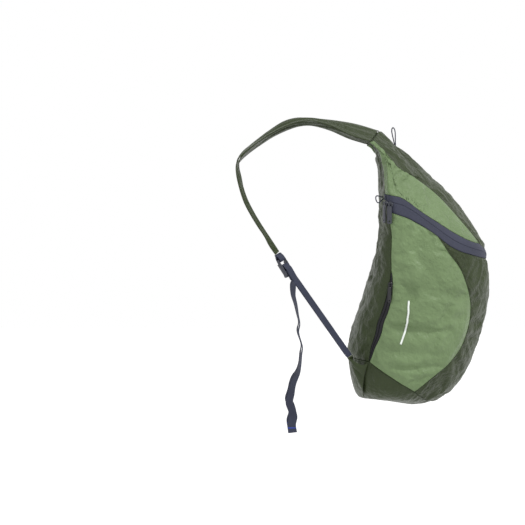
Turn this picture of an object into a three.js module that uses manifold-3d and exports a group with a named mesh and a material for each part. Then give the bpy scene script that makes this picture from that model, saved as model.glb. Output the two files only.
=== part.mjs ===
// A packable backpack of thin cloth, in the form it has when it is worn and lightly filled.
// Lengths are in millimetres and +Z is up. The outer face looks along -Y and the wearer stands at +Y.
// The origin lies under the straps, midway between them, where they rest on the shoulders.
import * as THREE from "three";
import Module from "manifold-3d";
import { mergeVertices } from "three/addons/utils/BufferGeometryUtils.js";

const wasm = await Module();
wasm.setup();

// Bag body
const BODY_HEIGHT = 466; // neck seam to the lowest cloth
const BODY_WIDTH = 291; // across the widest section
const BODY_DEPTH = 178; // from the line of the wearer's back to the outermost cloth
const SHOULDER_REACH = 126; // from the shoulder point back to the line of the wearer's back
const SHOULDER_RISE = 15; // from the neck seam up to the shoulder point
const CLOTH_WALL = 1.4;
const SEAM_GAP = 0.5; // between two cloth pieces that are sewn together
const NECK_THICKNESS = 5.4; // over both skins and their seam allowance at the neck seam
const NECK_ACROSS = { y: -0.8, z: 0.6 }; // direction across the neck seam, from back skin to front skin
const NECK_UP = { y: 0.6, z: 0.8 }; // direction straight up out of the neck seam
const FOLD_DEPTH = 7; // of the deepest fold in the cloth

// Straps and webbing
const CHEST_REACH = 124; // from the shoulder point forward to where the strap turns down
const STRAP_DROP = 230; // from the shoulder point down to the top of the buckle
const STRAP_THICKNESS = 2.4;
const STRAP_PLEAT = 2.6; // height of the pleats over the shoulder
const STRAP_PLEATS = 2.5;
const STRAP_PLEAT_END = 0.45; // where along the strap the pleats have run out
const STRAP_ROWS = 27;
const STRAP_COLUMNS = 8;
const STRAP_ROOT = { inner: 0.34, outer: 0.69 }; // along the neck seam, as shares of half of BODY_WIDTH
const WEBBING_WIDTH = 15;
const WEBBING_THICKNESS = 1.4;
const WEBBING_ROLL = 38; // degrees that the webbing and the buckle lean from facing forward
const TAIL_DROP = 262; // straight down, from the buckle to the end of the loose webbing
const TAIL_SWAY = 16; // furthest that the loose webbing wanders sideways
const WEBBING_RUN_STEPS = 4; // of the straight webbing between the wing and the buckle
const HALF_TURN_STEPS = 6; // of webbing round a bar

// Buckle
const BUCKLE_DISTANCE = 11; // from the end of the strap to the buckle's upper bar
const BUCKLE_LEAN = 30; // degrees that the buckle hangs from upright
const BUCKLE_LENGTH = 33;
const BUCKLE_THICKNESS = 2.8;
const BUCKLE_RAIL = 3; // width of each side rail
const BUCKLE_BAR = 3; // width of each cross bar
const BUCKLE_LIP = 3; // height of the ribbed lip at the lower end
const BUCKLE_LIP_LENGTH = 7;
const BUCKLE_LIP_INSET = 0.4; // of the lip from the buckle's edges
const BUCKLE_RIBS = 3;
const BUCKLE_RIB_WIDTH = 0.8;
const BUCKLE_RIB_STEP = 0.2; // height of each rib, as a share of the lip's
const WEBBING_CLEARANCE = 0.5; // between the webbing and what it threads through

// Wing, the corner gusset that the lower webbing is sewn to
const WING_THICKNESS = 2.2;
const WING_PLEAT = 1.6;
const WING_PLEATS = 2;
const WING_COLUMNS = 10;
const WING_ROWS = 5;
const WING_BULGE = 4; // how far its middle stands out from the flat
const WING_HOLLOW = 0.22; // how far its two free edges curve in, as a share of its width
const WING_WAVE_START = 0.15; // of half a wave of the pleats' height, at the wing's base
const WING_WAVE_SPAN = 0.75; // of half a wave, from the base to the tip
const WING_TIP = { across: 0.7733, out: -0.3217, down: 0.8221 };
const WING_BASE_DROP = 0.004; // of its front corner below the side panel's, as a share down the body
const WING_CORNER_TURN = 138; // degrees round the body to its back corner
const WING_CORNER_DOWN = 0.815; // share down the body to its back corner

// Zips
const BAND_WIDTH = 23; // main zip, over both tapes, where it is widest
const TAPE_THICKNESS = 1.5;
const COIL_WIDTH = 3.4;
const COIL_THICKNESS = 1.6;
const ZIP_END_LENGTH = 11;
const ZIP_END_THICKNESS = 1.3;
const ZIP_END_SHARE = 0.42; // of the band's width that the tab covers
const ZIP_END_OVERLAP = 0.08; // of the band's width that it stands over the upper edge
const ZIP_END_BEHIND = 0.1; // of its length that lies behind the band's end
const POCKET_ZIP_WIDTH = 12.5;
const POCKET_ZIP_LEAST = 2.5; // width at which its tapes end
const SLIDER_LENGTH = 10;
const SLIDER_WIDTH = 7.6;
const SLIDER_HEIGHT = 2.8;
const SLIDER_BEVEL = 0.5;
const SLIDER_A_SLOPE = -28; // degrees that the zip rises towards the front there
const SLIDER_B_SLOPE = -20;
const POCKET_SLIDER_SLOPE = 90;
const SLIDER_A_BACK = 18.5; // from the back end of the band to the front slider
const SLIDER_B_BACK = 2.2;
const SLIDER_SHARE = 0.6; // of the band's width, down from its upper edge
const POCKET_SLIDER_SHARE = 0.06; // of the pocket zip's length, from its upper end
const PULLER_LENGTH = 30;
const PULLER_WIDTH = 8.4;
const PULLER_THICKNESS = 1.8;
const POCKET_PULLER_LENGTH = 26;
const POCKET_PULLER_WIDTH = 6.4;
const PULLER_ROUND = 0.3; // radius of a puller's corners, as a share of its width
const PULLER_HOLE = 0.2; // radius of its hole, as a share of its width
const HINGE_GAP = 0.5;
const HINGE_BAR = 1.2; // thickness of the slider's bridge
const HINGE_HEIGHT = 5.2; // from the slider's underside to the middle of the bridge
const BRIDGE_HALF = 3;
const LINK_WIRE = 0.9;
const LINK_WIDTH = 1.6;
const LINK_LENGTH = 4.4; // from the hinge to the bottom of the link

// Cords
const CORD_DIAMETER = 2;
const CORD_STEPS = 14;
const HANG_LOOP_HEIGHT = 31;
const HANG_LOOP_WIDTH = 9;
const HANG_LOOP_LIFT = 0.3; // of its ends over the neck seam
const PULL_LOOP_LENGTH = 21;
const PULL_LOOP_WIDTH = 12;
const PULL_LOOP_LIFT = 3.4; // of its ends above the band

const DEG = Math.PI / 180;
const GRID_PER_MM = 256;

// Sections of the body from the neck to the bottom, seen from the side. Each runs from the wearer's
// back to the outer face. The out columns are shares of BODY_DEPTH, the down columns of BODY_HEIGHT
// and width of BODY_WIDTH. Widest is how far along the section its widest place is. The last three
// columns are powers: 2 gives an ellipse, more a squarer form and less a more pointed one.
const SECTION_COLUMNS = [
  "backOut", "backDown", "frontOut", "frontDown", "width", "widest", "flank", "nose", "corner",
];
const SECTIONS = [
  [-0.1, 0.05, 0.12, 0.058, 0.7, 0.3, 1.3, 2, 5],
  [-0.067, 0.074, 0.276, 0.107, 0.75, 0.2, 1.2, 1.7, 6],
  [-0.029, 0.107, 0.467, 0.176, 0.82, 0.17, 1.15, 1.7, 6],
  [-0.005, 0.151, 0.657, 0.249, 0.889, 0.15, 1.25, 1.8, 6],
  [0, 0.198, 0.829, 0.34, 0.936, 0.17, 1.8, 2.5, 6],
  [0, 0.242, 0.985, 0.435, 0.959, 0.22, 2.4, 3, 6],
  [-0.01, 0.297, 0.99, 0.479, 0.982, 0.3, 2.4, 2.9, 6],
  [-0.01, 0.38, 0.995, 0.544, 0.994, 0.38, 2.2, 2.5, 5.5],
  [-0.086, 0.515, 0.985, 0.617, 1, 0.45, 2.1, 2.1, 4.5],
  [-0.19, 0.647, 0.943, 0.698, 0.982, 0.48, 2, 2, 3.4],
  [-0.295, 0.756, 0.867, 0.789, 0.936, 0.48, 2, 2, 3],
  [-0.314, 0.843, 0.771, 0.88, 0.877, 0.48, 2.1, 2.1, 3],
  [-0.276, 0.927, 0.638, 0.945, 0.772, 0.48, 2.1, 2.2, 3],
  [-0.229, 0.968, 0.514, 0.98, 0.632, 0.48, 2.1, 2.2, 2.6],
  [-0.15, 0.977, 0.429, 0.992, 0.468, 0.5, 2, 2, 2.2],
  [0, 0.982, 0.3, 0.998, 0.234, 0.5, 2, 2, 2],
  [0.15, 0.993, 0.15, 0.993, 0, 0.5, 2, 2, 2],
].map((row) => Object.fromEntries(row.map((value, i) => [SECTION_COLUMNS[i], value])));

// The neck seam, where both skins meet. Across is a share of half of BODY_WIDTH.
const NECK = [
  { across: 0, out: 0.124, down: 0.056 },
  { across: 0.2, out: 0.075, down: 0.043 },
  { across: 0.34, out: -0.03, down: 0.004 },
  { across: 0.52, out: -0.08, down: 0.022 },
  { across: 0.7, out: -0.12, down: 0.045 },
];

// Seams of one side as points on the body, seen from the side. The other side mirrors them.
const SEAMS = {
  // between the top panel and the light upper side panel
  upperFront: [
    { out: 0.11, down: 0.126 },
    { out: 0.302, down: 0.173 },
    { out: 0.514, down: 0.235 },
    { out: 0.728, down: 0.324 },
    { out: 0.908, down: 0.41 },
  ],
  // between the upper side panel and the back panel
  upperBack: [
    { out: -0.026, down: 0.112 },
    { out: -0.004, down: 0.153 },
    { out: 0.002, down: 0.2 },
    { out: 0.012, down: 0.234 },
  ],
  // upper edge of the main zip, from its back end to the middle of the front
  bandUpper: [
    { out: 0.012, down: 0.234 },
    { out: 0.196, down: 0.254 },
    { out: 0.343, down: 0.295 },
    { out: 0.493, down: 0.332 },
    { out: 0.642, down: 0.368 },
    { out: 0.79, down: 0.397 },
    { out: 0.908, down: 0.41 },
  ],
  // lower edge of the main zip
  bandLower: [
    { out: 0.04, down: 0.297 },
    { out: 0.238, down: 0.324 },
    { out: 0.388, down: 0.356 },
    { out: 0.495, down: 0.384 },
    { out: 0.6, down: 0.416 },
    { out: 0.705, down: 0.438 },
    { out: 0.833, down: 0.453 },
    { out: 0.94, down: 0.463 },
  ],
  // front seam of the light lower side panel, from the zip to its lowest tip
  lowerFront: [
    { out: 0.505, down: 0.386 },
    { out: 0.619, down: 0.45 },
    { out: 0.728, down: 0.507 },
    { out: 0.8, down: 0.58 },
    { out: 0.828, down: 0.645 },
    { out: 0.812, down: 0.71 },
    { out: 0.749, down: 0.783 },
    { out: 0.642, down: 0.84 },
    { out: 0.493, down: 0.889 },
    { out: 0.291, down: 0.95 },
  ],
  // back seam of the lower side panel, from the zip to the wing
  lowerBack: [
    { out: 0.04, down: 0.297 },
    { out: 0.062, down: 0.36 },
    { out: 0.062, down: 0.45 },
    { out: 0.062, down: 0.512 },
    { out: 0.033, down: 0.581 },
    { out: -0.01, down: 0.643 },
    { out: -0.061, down: 0.694 },
    { out: -0.09, down: 0.745 },
    { out: -0.127, down: 0.791 },
    { out: -0.14, down: 0.84 },
  ],
  // bottom seam of the lower side panel, from the wing to the tip
  lowerBottom: [
    { out: -0.14, down: 0.84 },
    { out: -0.03, down: 0.872 },
    { out: 0.067, down: 0.897 },
    { out: 0.18, down: 0.925 },
    { out: 0.291, down: 0.95 },
  ],
  // from the tip on, between the front panel and the bottom panel
  bottomFront: [
    { out: 0.291, down: 0.95 },
    { out: 0.36, down: 0.97 },
    { out: 0.42, down: 0.984 },
  ],
};

// The upper edge of the main zip at the middle of the front, and the upper end of the pocket's zip.
const BAND_MIDDLE = { out: 0.985, down: 0.4335 };
const POCKET_ZIP_TOP = { out: 0.062, down: 0.512 };

// Folds of the cloth, as straight creases. Side folds are seen from the side, with out and down as
// above. Front folds are seen from the front, with across as a share of half of BODY_WIDTH.
// Width is a share of BODY_WIDTH and depth of FOLD_DEPTH, with a minus sign where the cloth stands out.
const SIDE_FOLDS = [
  { out: 0.02, down: 0.12, toOut: 0.14, toDown: 0.24, width: 0.03, depth: 0.7 },
  { out: 0.1, down: 0.15, toOut: 0.3, toDown: 0.27, width: 0.03, depth: 0.8 },
  { out: 0.24, down: 0.18, toOut: 0.48, toDown: 0.31, width: 0.03, depth: 0.7 },
  { out: 0.42, down: 0.22, toOut: 0.68, toDown: 0.36, width: 0.028, depth: 0.6 },
  { out: 0.08, down: 0.53, toOut: 0.26, toDown: 0.6, width: 0.04, depth: 0.9 },
  { out: 0.26, down: 0.6, toOut: 0.08, toDown: 0.635, width: 0.035, depth: 0.6 },
  { out: 0.28, down: 0.44, toOut: 0.48, toDown: 0.57, width: 0.06, depth: 1 },
  { out: 0.16, down: 0.43, toOut: 0.3, toDown: 0.52, width: 0.05, depth: -0.5 },
  { out: 0.02, down: 0.72, toOut: 0.62, toDown: 0.73, width: 0.04, depth: 0.8 },
  { out: 0, down: 0.8, toOut: 0.66, toDown: 0.815, width: 0.04, depth: 0.7 },
  { out: 0.06, down: 0.86, toOut: 0.52, toDown: 0.865, width: 0.03, depth: 0.6 },
  { out: 0.62, down: 0.6, toOut: 0.8, toDown: 0.63, width: 0.04, depth: 0.6 },
  { out: 0.6, down: 0.67, toOut: 0.79, toDown: 0.69, width: 0.035, depth: 0.6 },
];
const FRONT_FOLDS = [
  { across: -0.5, down: 0.3, toAcross: -0.2, toDown: 0.36, width: 0.05, depth: 0.6 },
  { across: 0.5, down: 0.29, toAcross: 0.2, toDown: 0.37, width: 0.05, depth: 0.7 },
  { across: -0.45, down: 0.21, toAcross: -0.25, toDown: 0.28, width: 0.04, depth: 0.5 },
  { across: 0.42, down: 0.2, toAcross: 0.2, toDown: 0.29, width: 0.04, depth: 0.5 },
  { across: -0.72, down: 0.66, toAcross: -0.42, toDown: 0.7, width: 0.045, depth: 0.9 },
  { across: 0.72, down: 0.62, toAcross: 0.36, toDown: 0.65, width: 0.045, depth: 0.9 },
  { across: -0.68, down: 0.73, toAcross: -0.36, toDown: 0.76, width: 0.04, depth: 0.7 },
  { across: 0.7, down: 0.71, toAcross: 0.3, toDown: 0.72, width: 0.04, depth: 0.8 },
  { across: -0.66, down: 0.56, toAcross: -0.4, toDown: 0.62, width: 0.05, depth: 0.8 },
  { across: 0.62, down: 0.54, toAcross: 0.34, toDown: 0.57, width: 0.04, depth: 0.7 },
];
const BACK_FOLDS = [
  { across: -0.9, down: 0.5, toAcross: -0.4, toDown: 0.54, width: 0.05, depth: 0.8 },
  { across: 0.9, down: 0.5, toAcross: 0.4, toDown: 0.54, width: 0.05, depth: 0.8 },
  { across: -0.9, down: 0.64, toAcross: -0.3, toDown: 0.62, width: 0.05, depth: 0.8 },
  { across: 0.9, down: 0.64, toAcross: 0.3, toDown: 0.62, width: 0.05, depth: 0.8 },
  { across: -0.5, down: 0.3, toAcross: 0.5, toDown: 0.32, width: 0.06, depth: 0.7 },
  { across: -0.4, down: 0.42, toAcross: 0.5, toDown: 0.4, width: 0.05, depth: 0.6 },
  { across: -0.7, down: 0.75, toAcross: 0.1, toDown: 0.72, width: 0.06, depth: 0.8 },
  { across: 0.75, down: 0.78, toAcross: 0, toDown: 0.8, width: 0.05, depth: 0.6 },
];

// The strap from its root to its end, by points of its inner and outer edges, each by how far it lies
// forward, down and across. Forward is a share of CHEST_REACH, or of SHOULDER_REACH behind the shoulder,
// down of STRAP_DROP and across of half of BODY_WIDTH.
const STRAP = [
  { inner: [-0.649, 0.019, 0.386], outer: [-0.568, 0.104, 0.725] },
  { inner: [-0.405, -0.004, 0.468], outer: [-0.324, 0.044, 0.795] },
  { inner: [-0.203, -0.016, 0.515], outer: [-0.162, 0.015, 0.842] },
  { inner: [0, -0.024, 0.55], outer: [-0.014, 0, 0.877] },
  { inner: [0.17, -0.026, 0.573], outer: [0.151, 0.01, 0.9] },
  { inner: [0.342, -0.001, 0.608], outer: [0.329, 0.044, 0.924] },
  { inner: [0.534, 0.064, 0.655], outer: [0.501, 0.089, 0.947] },
  { inner: [0.671, 0.119, 0.69], outer: [0.637, 0.136, 0.959] },
  { inner: [0.808, 0.178, 0.725], outer: [0.795, 0.196, 0.965] },
  { inner: [0.911, 0.227, 0.749], outer: [0.918, 0.252, 0.959] },
  { inner: [0.964, 0.272, 0.76], outer: [0.97, 0.285, 0.959] },
  { inner: [0.966, 0.326, 0.766], outer: [0.995, 0.333, 0.947] },
  { inner: [0.937, 0.393, 0.772], outer: [0.99, 0.393, 0.936] },
  { inner: [0.904, 0.481, 0.778], outer: [0.959, 0.474, 0.93] },
  { inner: [0.842, 0.578, 0.784], outer: [0.897, 0.581, 0.924] },
  { inner: [0.747, 0.678, 0.789], outer: [0.801, 0.681, 0.924] },
  { inner: [0.644, 0.77, 0.795], outer: [0.699, 0.77, 0.924] },
  { inner: [0.562, 0.837, 0.801], outer: [0.61, 0.841, 0.918] },
  { inner: [0.493, 0.893, 0.807], outer: [0.544, 0.91, 0.912] },
  { inner: [0.414, 0.958, 0.813], outer: [0.456, 0.98, 0.906] },
];

// Outline of a slider from above, as shares of half its length and half its width.
const SLIDER_OUTLINE = [
  [-1, -0.6],
  [-0.4, -1],
  [0.6, -1],
  [1, -0.5],
  [1, 0.5],
  [0.6, 1],
  [-0.4, 1],
  [-1, 0.6],
];

// Outline of a puller's link from the side, as shares of half its depth across and of its ends up.
const LINK_OUTLINE = [
  { across: -0.5, top: 1 },
  { across: 0.5, top: 1 },
  { across: 1, top: 0.4 },
  { across: 1, bottom: 0.8 },
  { across: 0.5, bottom: 1 },
  { across: -0.5, bottom: 1 },
  { across: -1, bottom: 0.8 },
  { across: -1, top: 0.4 },
];

// The loose webbing from the buckle to its end. Down is a share of TAIL_DROP, sway of TAIL_SWAY and
// turn is how far the webbing is turned towards the side, in degrees.
const TAIL = [
  { down: 0.05, sway: 0.05, turn: 30 },
  { down: 0.117, sway: 0.08, turn: 22 },
  { down: 0.176, sway: 0.33, turn: 14 },
  { down: 0.241, sway: 0.54, turn: 6 },
  { down: 0.3, sway: 0.72, turn: 2 },
  { down: 0.355, sway: 0.58, turn: 6 },
  { down: 0.449, sway: 1, turn: 2 },
  { down: 0.501, sway: 0.89, turn: 6 },
  { down: 0.566, sway: 0.79, turn: 8 },
  { down: 0.618, sway: 0.58, turn: 18 },
  { down: 0.661, sway: 0.21, turn: 32 },
  { down: 0.697, sway: 0, turn: 36 },
  { down: 0.749, sway: -0.16, turn: 42 },
  { down: 0.807, sway: -0.37, turn: 54 },
  { down: 0.859, sway: -0.08, turn: 56 },
  { down: 0.898, sway: 0.05, turn: 64 },
  { down: 0.947, sway: -0.13, turn: 76 },
  { down: 1, sway: -0.02, turn: 84 },
];

// How finely the cloth is divided
const DIVISIONS = {
  frontColumns: 6, // columns from the front middle to the top panel's corner
  cornerColumns: 3, // columns from there to the front panel's corner
  sideColumns: 6, // columns from there to the band's back end
  upperRows: 9,
  bandRows: 2,
  lowerRows: 15,
  tipRows: 2,
  backHalf: 6,
  bottomRings: 3,
};

const CLOTH_LOOK = { roughness: 0.62, metalness: 0 };
const LOOKS = {
  darkCloth: new THREE.MeshStandardMaterial({ color: 0x4d5843, ...CLOTH_LOOK }),
  lightCloth: new THREE.MeshStandardMaterial({ color: 0x7d9271, ...CLOTH_LOOK }),
  zipTape: new THREE.MeshStandardMaterial({ color: 0x51545f, roughness: 0.8, metalness: 0 }),
  webbing: new THREE.MeshStandardMaterial({ color: 0x3f4353, roughness: 0.75, metalness: 0 }),
  plastic: new THREE.MeshStandardMaterial({ color: 0x6a6e78, roughness: 0.4, metalness: 0 }),
  glossy: new THREE.MeshStandardMaterial({ color: 0x15151c, roughness: 0.25, metalness: 0.2 }),
  cord: new THREE.MeshStandardMaterial({ color: 0x3d4050, roughness: 0.8, metalness: 0 }),
};

const backpack = new THREE.Group();

// Every point lies on a fine grid, so that faces that share a point agree on it exactly.
function addPiece(name, geometry, look) {
  const points = geometry.getAttribute("position");
  for (let i = 0; i < points.array.length; i += 1) {
    points.array[i] = Math.round(points.array[i] * GRID_PER_MM) / GRID_PER_MM;
  }
  const mesh = new THREE.Mesh(geometry, look.clone());
  mesh.name = name;
  backpack.add(mesh);
}

// Small helpers

function vector(x, y, z) {
  return new THREE.Vector3(x, y, z);
}

function mix(a, b, share) {
  return a + (b - a) * share;
}

function easeInOut(share) {
  const s = THREE.MathUtils.clamp(share, 0, 1);
  return s * s * (3 - 2 * s);
}

function bell(distance, width) {
  return Math.exp(-((distance / width) ** 2));
}

// A smooth curve through values at increasing knots.
function smoothCurve(knots, values) {
  const last = values.length - 1;
  const slopes = values.map((_, i) => {
    const before = Math.max(i - 1, 0);
    const after = Math.min(i + 1, last);
    return (values[after] - values[before]) / (knots[after] - knots[before]);
  });
  return (place) => {
    let i = 0;
    while (i < last - 1 && place > knots[i + 1]) i += 1;
    const span = knots[i + 1] - knots[i];
    const s = THREE.MathUtils.clamp((place - knots[i]) / span, 0, 1);
    const lift = s * s * (3 - 2 * s);
    const startPull = span * slopes[i] * s * (1 - s) ** 2;
    const endPull = span * slopes[i + 1] * s * s * (1 - s);
    return mix(values[i], values[i + 1], lift) + startPull - endPull;
  };
}

// Closed solid between two grids of points that face each other, such as the outer and inner side of a
// wall. Each grid is a list of rows, and the rows of outer run the same way as those of inner.
function sheetSolid(outer, inner) {
  const rows = outer.length;
  const columns = outer[0].length;
  const positions = [];
  for (const grid of [outer, inner]) {
    for (const row of grid) {
      for (const point of row) positions.push(point.x, point.y, point.z);
    }
  }
  const at = (side, row, column) => (side * rows + row) * columns + column;
  const index = [];
  const quad = (a, b, c, d) => index.push(a, b, c, a, c, d);
  for (let r = 0; r + 1 < rows; r += 1) {
    for (let c = 0; c + 1 < columns; c += 1) {
      quad(at(0, r, c), at(0, r + 1, c), at(0, r + 1, c + 1), at(0, r, c + 1));
      quad(at(1, r, c), at(1, r, c + 1), at(1, r + 1, c + 1), at(1, r + 1, c));
    }
    quad(at(0, r, 0), at(1, r, 0), at(1, r + 1, 0), at(0, r + 1, 0));
    quad(at(0, r, columns - 1), at(0, r + 1, columns - 1), at(1, r + 1, columns - 1), at(1, r, columns - 1));
  }
  for (let c = 0; c + 1 < columns; c += 1) {
    quad(at(0, 0, c), at(0, 0, c + 1), at(1, 0, c + 1), at(1, 0, c));
    quad(at(0, rows - 1, c), at(1, rows - 1, c), at(1, rows - 1, c + 1), at(0, rows - 1, c + 1));
  }
  return facingOut(positions, index);
}

// Closed wall of a bowl: rings from the rim inwards, each a closed loop, and one pole for each side.
function bowlSolid(outerRings, innerRings, outerPole, innerPole) {
  const rings = outerRings.length;
  const around = outerRings[0].length;
  const positions = [];
  for (const loops of [outerRings, innerRings]) {
    for (const ring of loops) {
      for (const point of ring) positions.push(point.x, point.y, point.z);
    }
  }
  positions.push(outerPole.x, outerPole.y, outerPole.z, innerPole.x, innerPole.y, innerPole.z);
  const at = (side, ring, step) => (side * rings + ring) * around + (step % around);
  const index = [];
  const quad = (a, b, c, d) => index.push(a, b, c, a, c, d);
  for (let k = 0; k < around; k += 1) {
    for (let r = 0; r + 1 < rings; r += 1) {
      quad(at(0, r, k), at(0, r + 1, k), at(0, r + 1, k + 1), at(0, r, k + 1));
      quad(at(1, r, k), at(1, r, k + 1), at(1, r + 1, k + 1), at(1, r + 1, k));
    }
    quad(at(0, 0, k), at(0, 0, k + 1), at(1, 0, k + 1), at(1, 0, k));
    index.push(at(0, rings - 1, k), 2 * rings * around, at(0, rings - 1, k + 1));
    index.push(at(1, rings - 1, k), at(1, rings - 1, k + 1), 2 * rings * around + 1);
  }
  return facingOut(positions, index);
}

// Turns every face round where the body's signed volume is negative.
function facingOut(positions, index) {
  let volume = 0;
  const corner = (i) => vector(...positions.slice(3 * index[i], 3 * index[i] + 3));
  for (let i = 0; i < index.length; i += 3) {
    volume += corner(i).dot(corner(i + 1).cross(corner(i + 2)));
  }
  if (volume < 0) {
    for (let i = 0; i < index.length; i += 3) [index[i + 1], index[i + 2]] = [index[i + 2], index[i + 1]];
  }
  const geometry = new THREE.BufferGeometry();
  geometry.setAttribute("position", new THREE.Float32BufferAttribute(positions, 3));
  geometry.setIndex(index);
  geometry.computeVertexNormals();
  return geometry;
}

// A three.js geometry as a manifold solid, and back.
function toSolid(geometry) {
  const bare = geometry.clone();
  bare.deleteAttribute("normal");
  bare.deleteAttribute("uv");
  const merged = mergeVertices(bare, 1e-4);
  return new wasm.Manifold(
    new wasm.Mesh({
      numProp: 3,
      vertProperties: merged.attributes.position.array,
      triVerts: new Uint32Array(merged.index.array),
    }),
  );
}

function fromSolid(solid) {
  const mesh = solid.getMesh();
  const geometry = new THREE.BufferGeometry();
  geometry.setAttribute("position", new THREE.BufferAttribute(mesh.vertProperties, 3));
  geometry.setIndex(new THREE.BufferAttribute(mesh.triVerts, 1));
  geometry.computeVertexNormals();
  return geometry;
}

// The body's skin

// Place seen from the side, by its shares of the body's depth and height.
function sidePlace(out, down) {
  return new THREE.Vector2(-(SHOULDER_REACH + out * BODY_DEPTH), -(SHOULDER_RISE + down * BODY_HEIGHT));
}

function sectionKnots() {
  const knots = [0];
  for (let i = 1; i < SECTIONS.length; i += 1) {
    const [a, b] = [SECTIONS[i - 1], SECTIONS[i]];
    const frontStep = sidePlace(a.frontOut, a.frontDown).distanceTo(sidePlace(b.frontOut, b.frontDown));
    const backStep = sidePlace(a.backOut, a.backDown).distanceTo(sidePlace(b.backOut, b.backDown));
    const sideStep = (Math.abs(a.width - b.width) * BODY_WIDTH) / 2;
    knots.push(knots[i - 1] + (frontStep + backStep + sideStep) / 3);
  }
  return knots.map((knot) => knot / knots[knots.length - 1]);
}

const KNOTS = sectionKnots();
const NECK_BLEND = KNOTS[2];
const NECK_BLUNTNESS = 0.12; // how soon the neck seam is at its full thickness, from its ends
const SECTION_CURVES = Object.fromEntries(
  Object.keys(SECTIONS[0]).map((name) => [name, smoothCurve(KNOTS, SECTIONS.map((row) => row[name]))]),
);
const NECK_CURVES = {
  out: smoothCurve(NECK.map((row) => row.across), NECK.map((row) => row.out)),
  down: smoothCurve(NECK.map((row) => row.across), NECK.map((row) => row.down)),
};

// The section at a place down the body, from 0 at the neck to 1 at the bottom.
function sectionAt(down) {
  const c = SECTION_CURVES;
  const back = sidePlace(c.backOut(down), c.backDown(down));
  const front = sidePlace(c.frontOut(down), c.frontDown(down));
  return {
    back,
    middle: back.clone().add(front).multiplyScalar(0.5),
    half: front.clone().sub(back).multiplyScalar(0.5),
    halfWidth: (c.width(down) * BODY_WIDTH) / 2,
    widest: 2 * c.widest(down) - 1,
    flank: c.flank(down),
    nose: c.nose(down),
    corner: c.corner(down),
  };
}

// Shares of the half depth and half width at a turn round the section, 0 at the front middle.
function roundPlace(section, turn) {
  const along = Math.abs(Math.cos(turn));
  const across = Math.sin(turn);
  const { widest, flank, nose, corner } = section;
  if (Math.cos(turn) > 0) {
    const forward = widest + (1 - widest) * along ** (2 / flank);
    return { along: forward, across: Math.sign(across) * Math.abs(across) ** (2 / nose) };
  }
  const reach = (along ** corner + Math.abs(across) ** corner) ** (-1 / corner);
  return { along: widest - (1 + widest) * along * reach, across: across * reach };
}

// The turn at which a section has a share of its half depth.
function turnAt(section, share) {
  const { widest, flank, corner } = section;
  if (share > widest) return Math.acos(((share - widest) / (1 - widest)) ** (flank / 2));
  const along = (widest - share) / (1 + widest);
  return Math.atan2((1 - along ** corner) ** (1 / corner), -along);
}

// Point on the neck seam, which the skin leaves with a blunt edge all round.
function neckPoint(turn) {
  const last = NECK[NECK.length - 1].across;
  const across = Math.sin(turn);
  const share = Math.abs(across) * last;
  const place = sidePlace(NECK_CURVES.out(share), NECK_CURVES.down(share));
  const spread = (Math.tanh(Math.cos(turn) / NECK_BLUNTNESS) * NECK_THICKNESS) / 2;
  const [y, z] = [place.x + NECK_ACROSS.y * spread, place.y + NECK_ACROSS.z * spread];
  return vector((across * last * BODY_WIDTH) / 2, y, z);
}

// Point of the body's outer skin without its folds.
function smoothSkin(turn, down) {
  const section = sectionAt(down);
  const { along, across } = roundPlace(section, turn);
  const place = section.middle.clone().addScaledVector(section.half, along);
  const point = vector(across * section.halfWidth, place.x, place.y);
  const neckShare = 1 - easeInOut(down / NECK_BLEND);
  return neckShare > 0 ? point.lerp(neckPoint(turn), neckShare) : point;
}

// Outward direction of the skin.
function skinNormal(turn, down, surface = smoothSkin) {
  const step = 0.004;
  const low = Math.max(down - step, 0);
  const high = Math.min(down + step, 0.995);
  const place = Math.min(down, 0.995);
  const around = surface(turn + step, place).sub(surface(turn - step, place));
  const along = surface(turn, high).sub(surface(turn, low));
  return along.cross(around).normalize();
}

function segmentDistance(x, y, x1, y1, x2, y2) {
  const dx = x2 - x1;
  const dy = y2 - y1;
  const share = THREE.MathUtils.clamp(((x - x1) * dx + (y - y1) * dy) / (dx * dx + dy * dy), 0, 1);
  return Math.hypot(x - x1 - share * dx, y - y1 - share * dy);
}

// How deep the folds press the skin in at a point, in millimetres.
function foldDepth(point, turn, down) {
  const facing = Math.abs(Math.sin(turn));
  const isBack = Math.cos(turn) < 0;
  const sideShare = easeInOut((facing - 0.35) / 0.3);
  const fade = easeInOut(down / 0.06) * easeInOut((0.93 - down) / 0.1);
  const place = (fold, first, second) => {
    const width = fold.width * BODY_WIDTH;
    return FOLD_DEPTH * fold.depth * bell(segmentDistance(...first, ...second), width);
  };
  let depth = 0;
  for (const fold of SIDE_FOLDS) {
    const from = sidePlace(fold.out, fold.down);
    const to = sidePlace(fold.toOut, fold.toDown);
    depth += sideShare * place(fold, [point.y, point.z], [from.x, from.y, to.x, to.y]);
  }
  for (const fold of isBack ? BACK_FOLDS : FRONT_FOLDS) {
    const from = sidePlace(0, fold.down);
    const to = sidePlace(0, fold.toDown);
    const half = BODY_WIDTH / 2;
    const ends = [fold.across * half, from.y, fold.toAcross * half, to.y];
    depth += (1 - sideShare) * place(fold, [point.x, point.z], ends);
  }
  return depth * fade;
}

// Point of the body's outer skin with its folds.
function skin(turn, down) {
  const point = smoothSkin(turn, down);
  const depth = foldDepth(point, turn, down);
  return Math.abs(depth) < 0.01 ? point : point.addScaledVector(skinNormal(turn, down), -depth);
}

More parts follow.
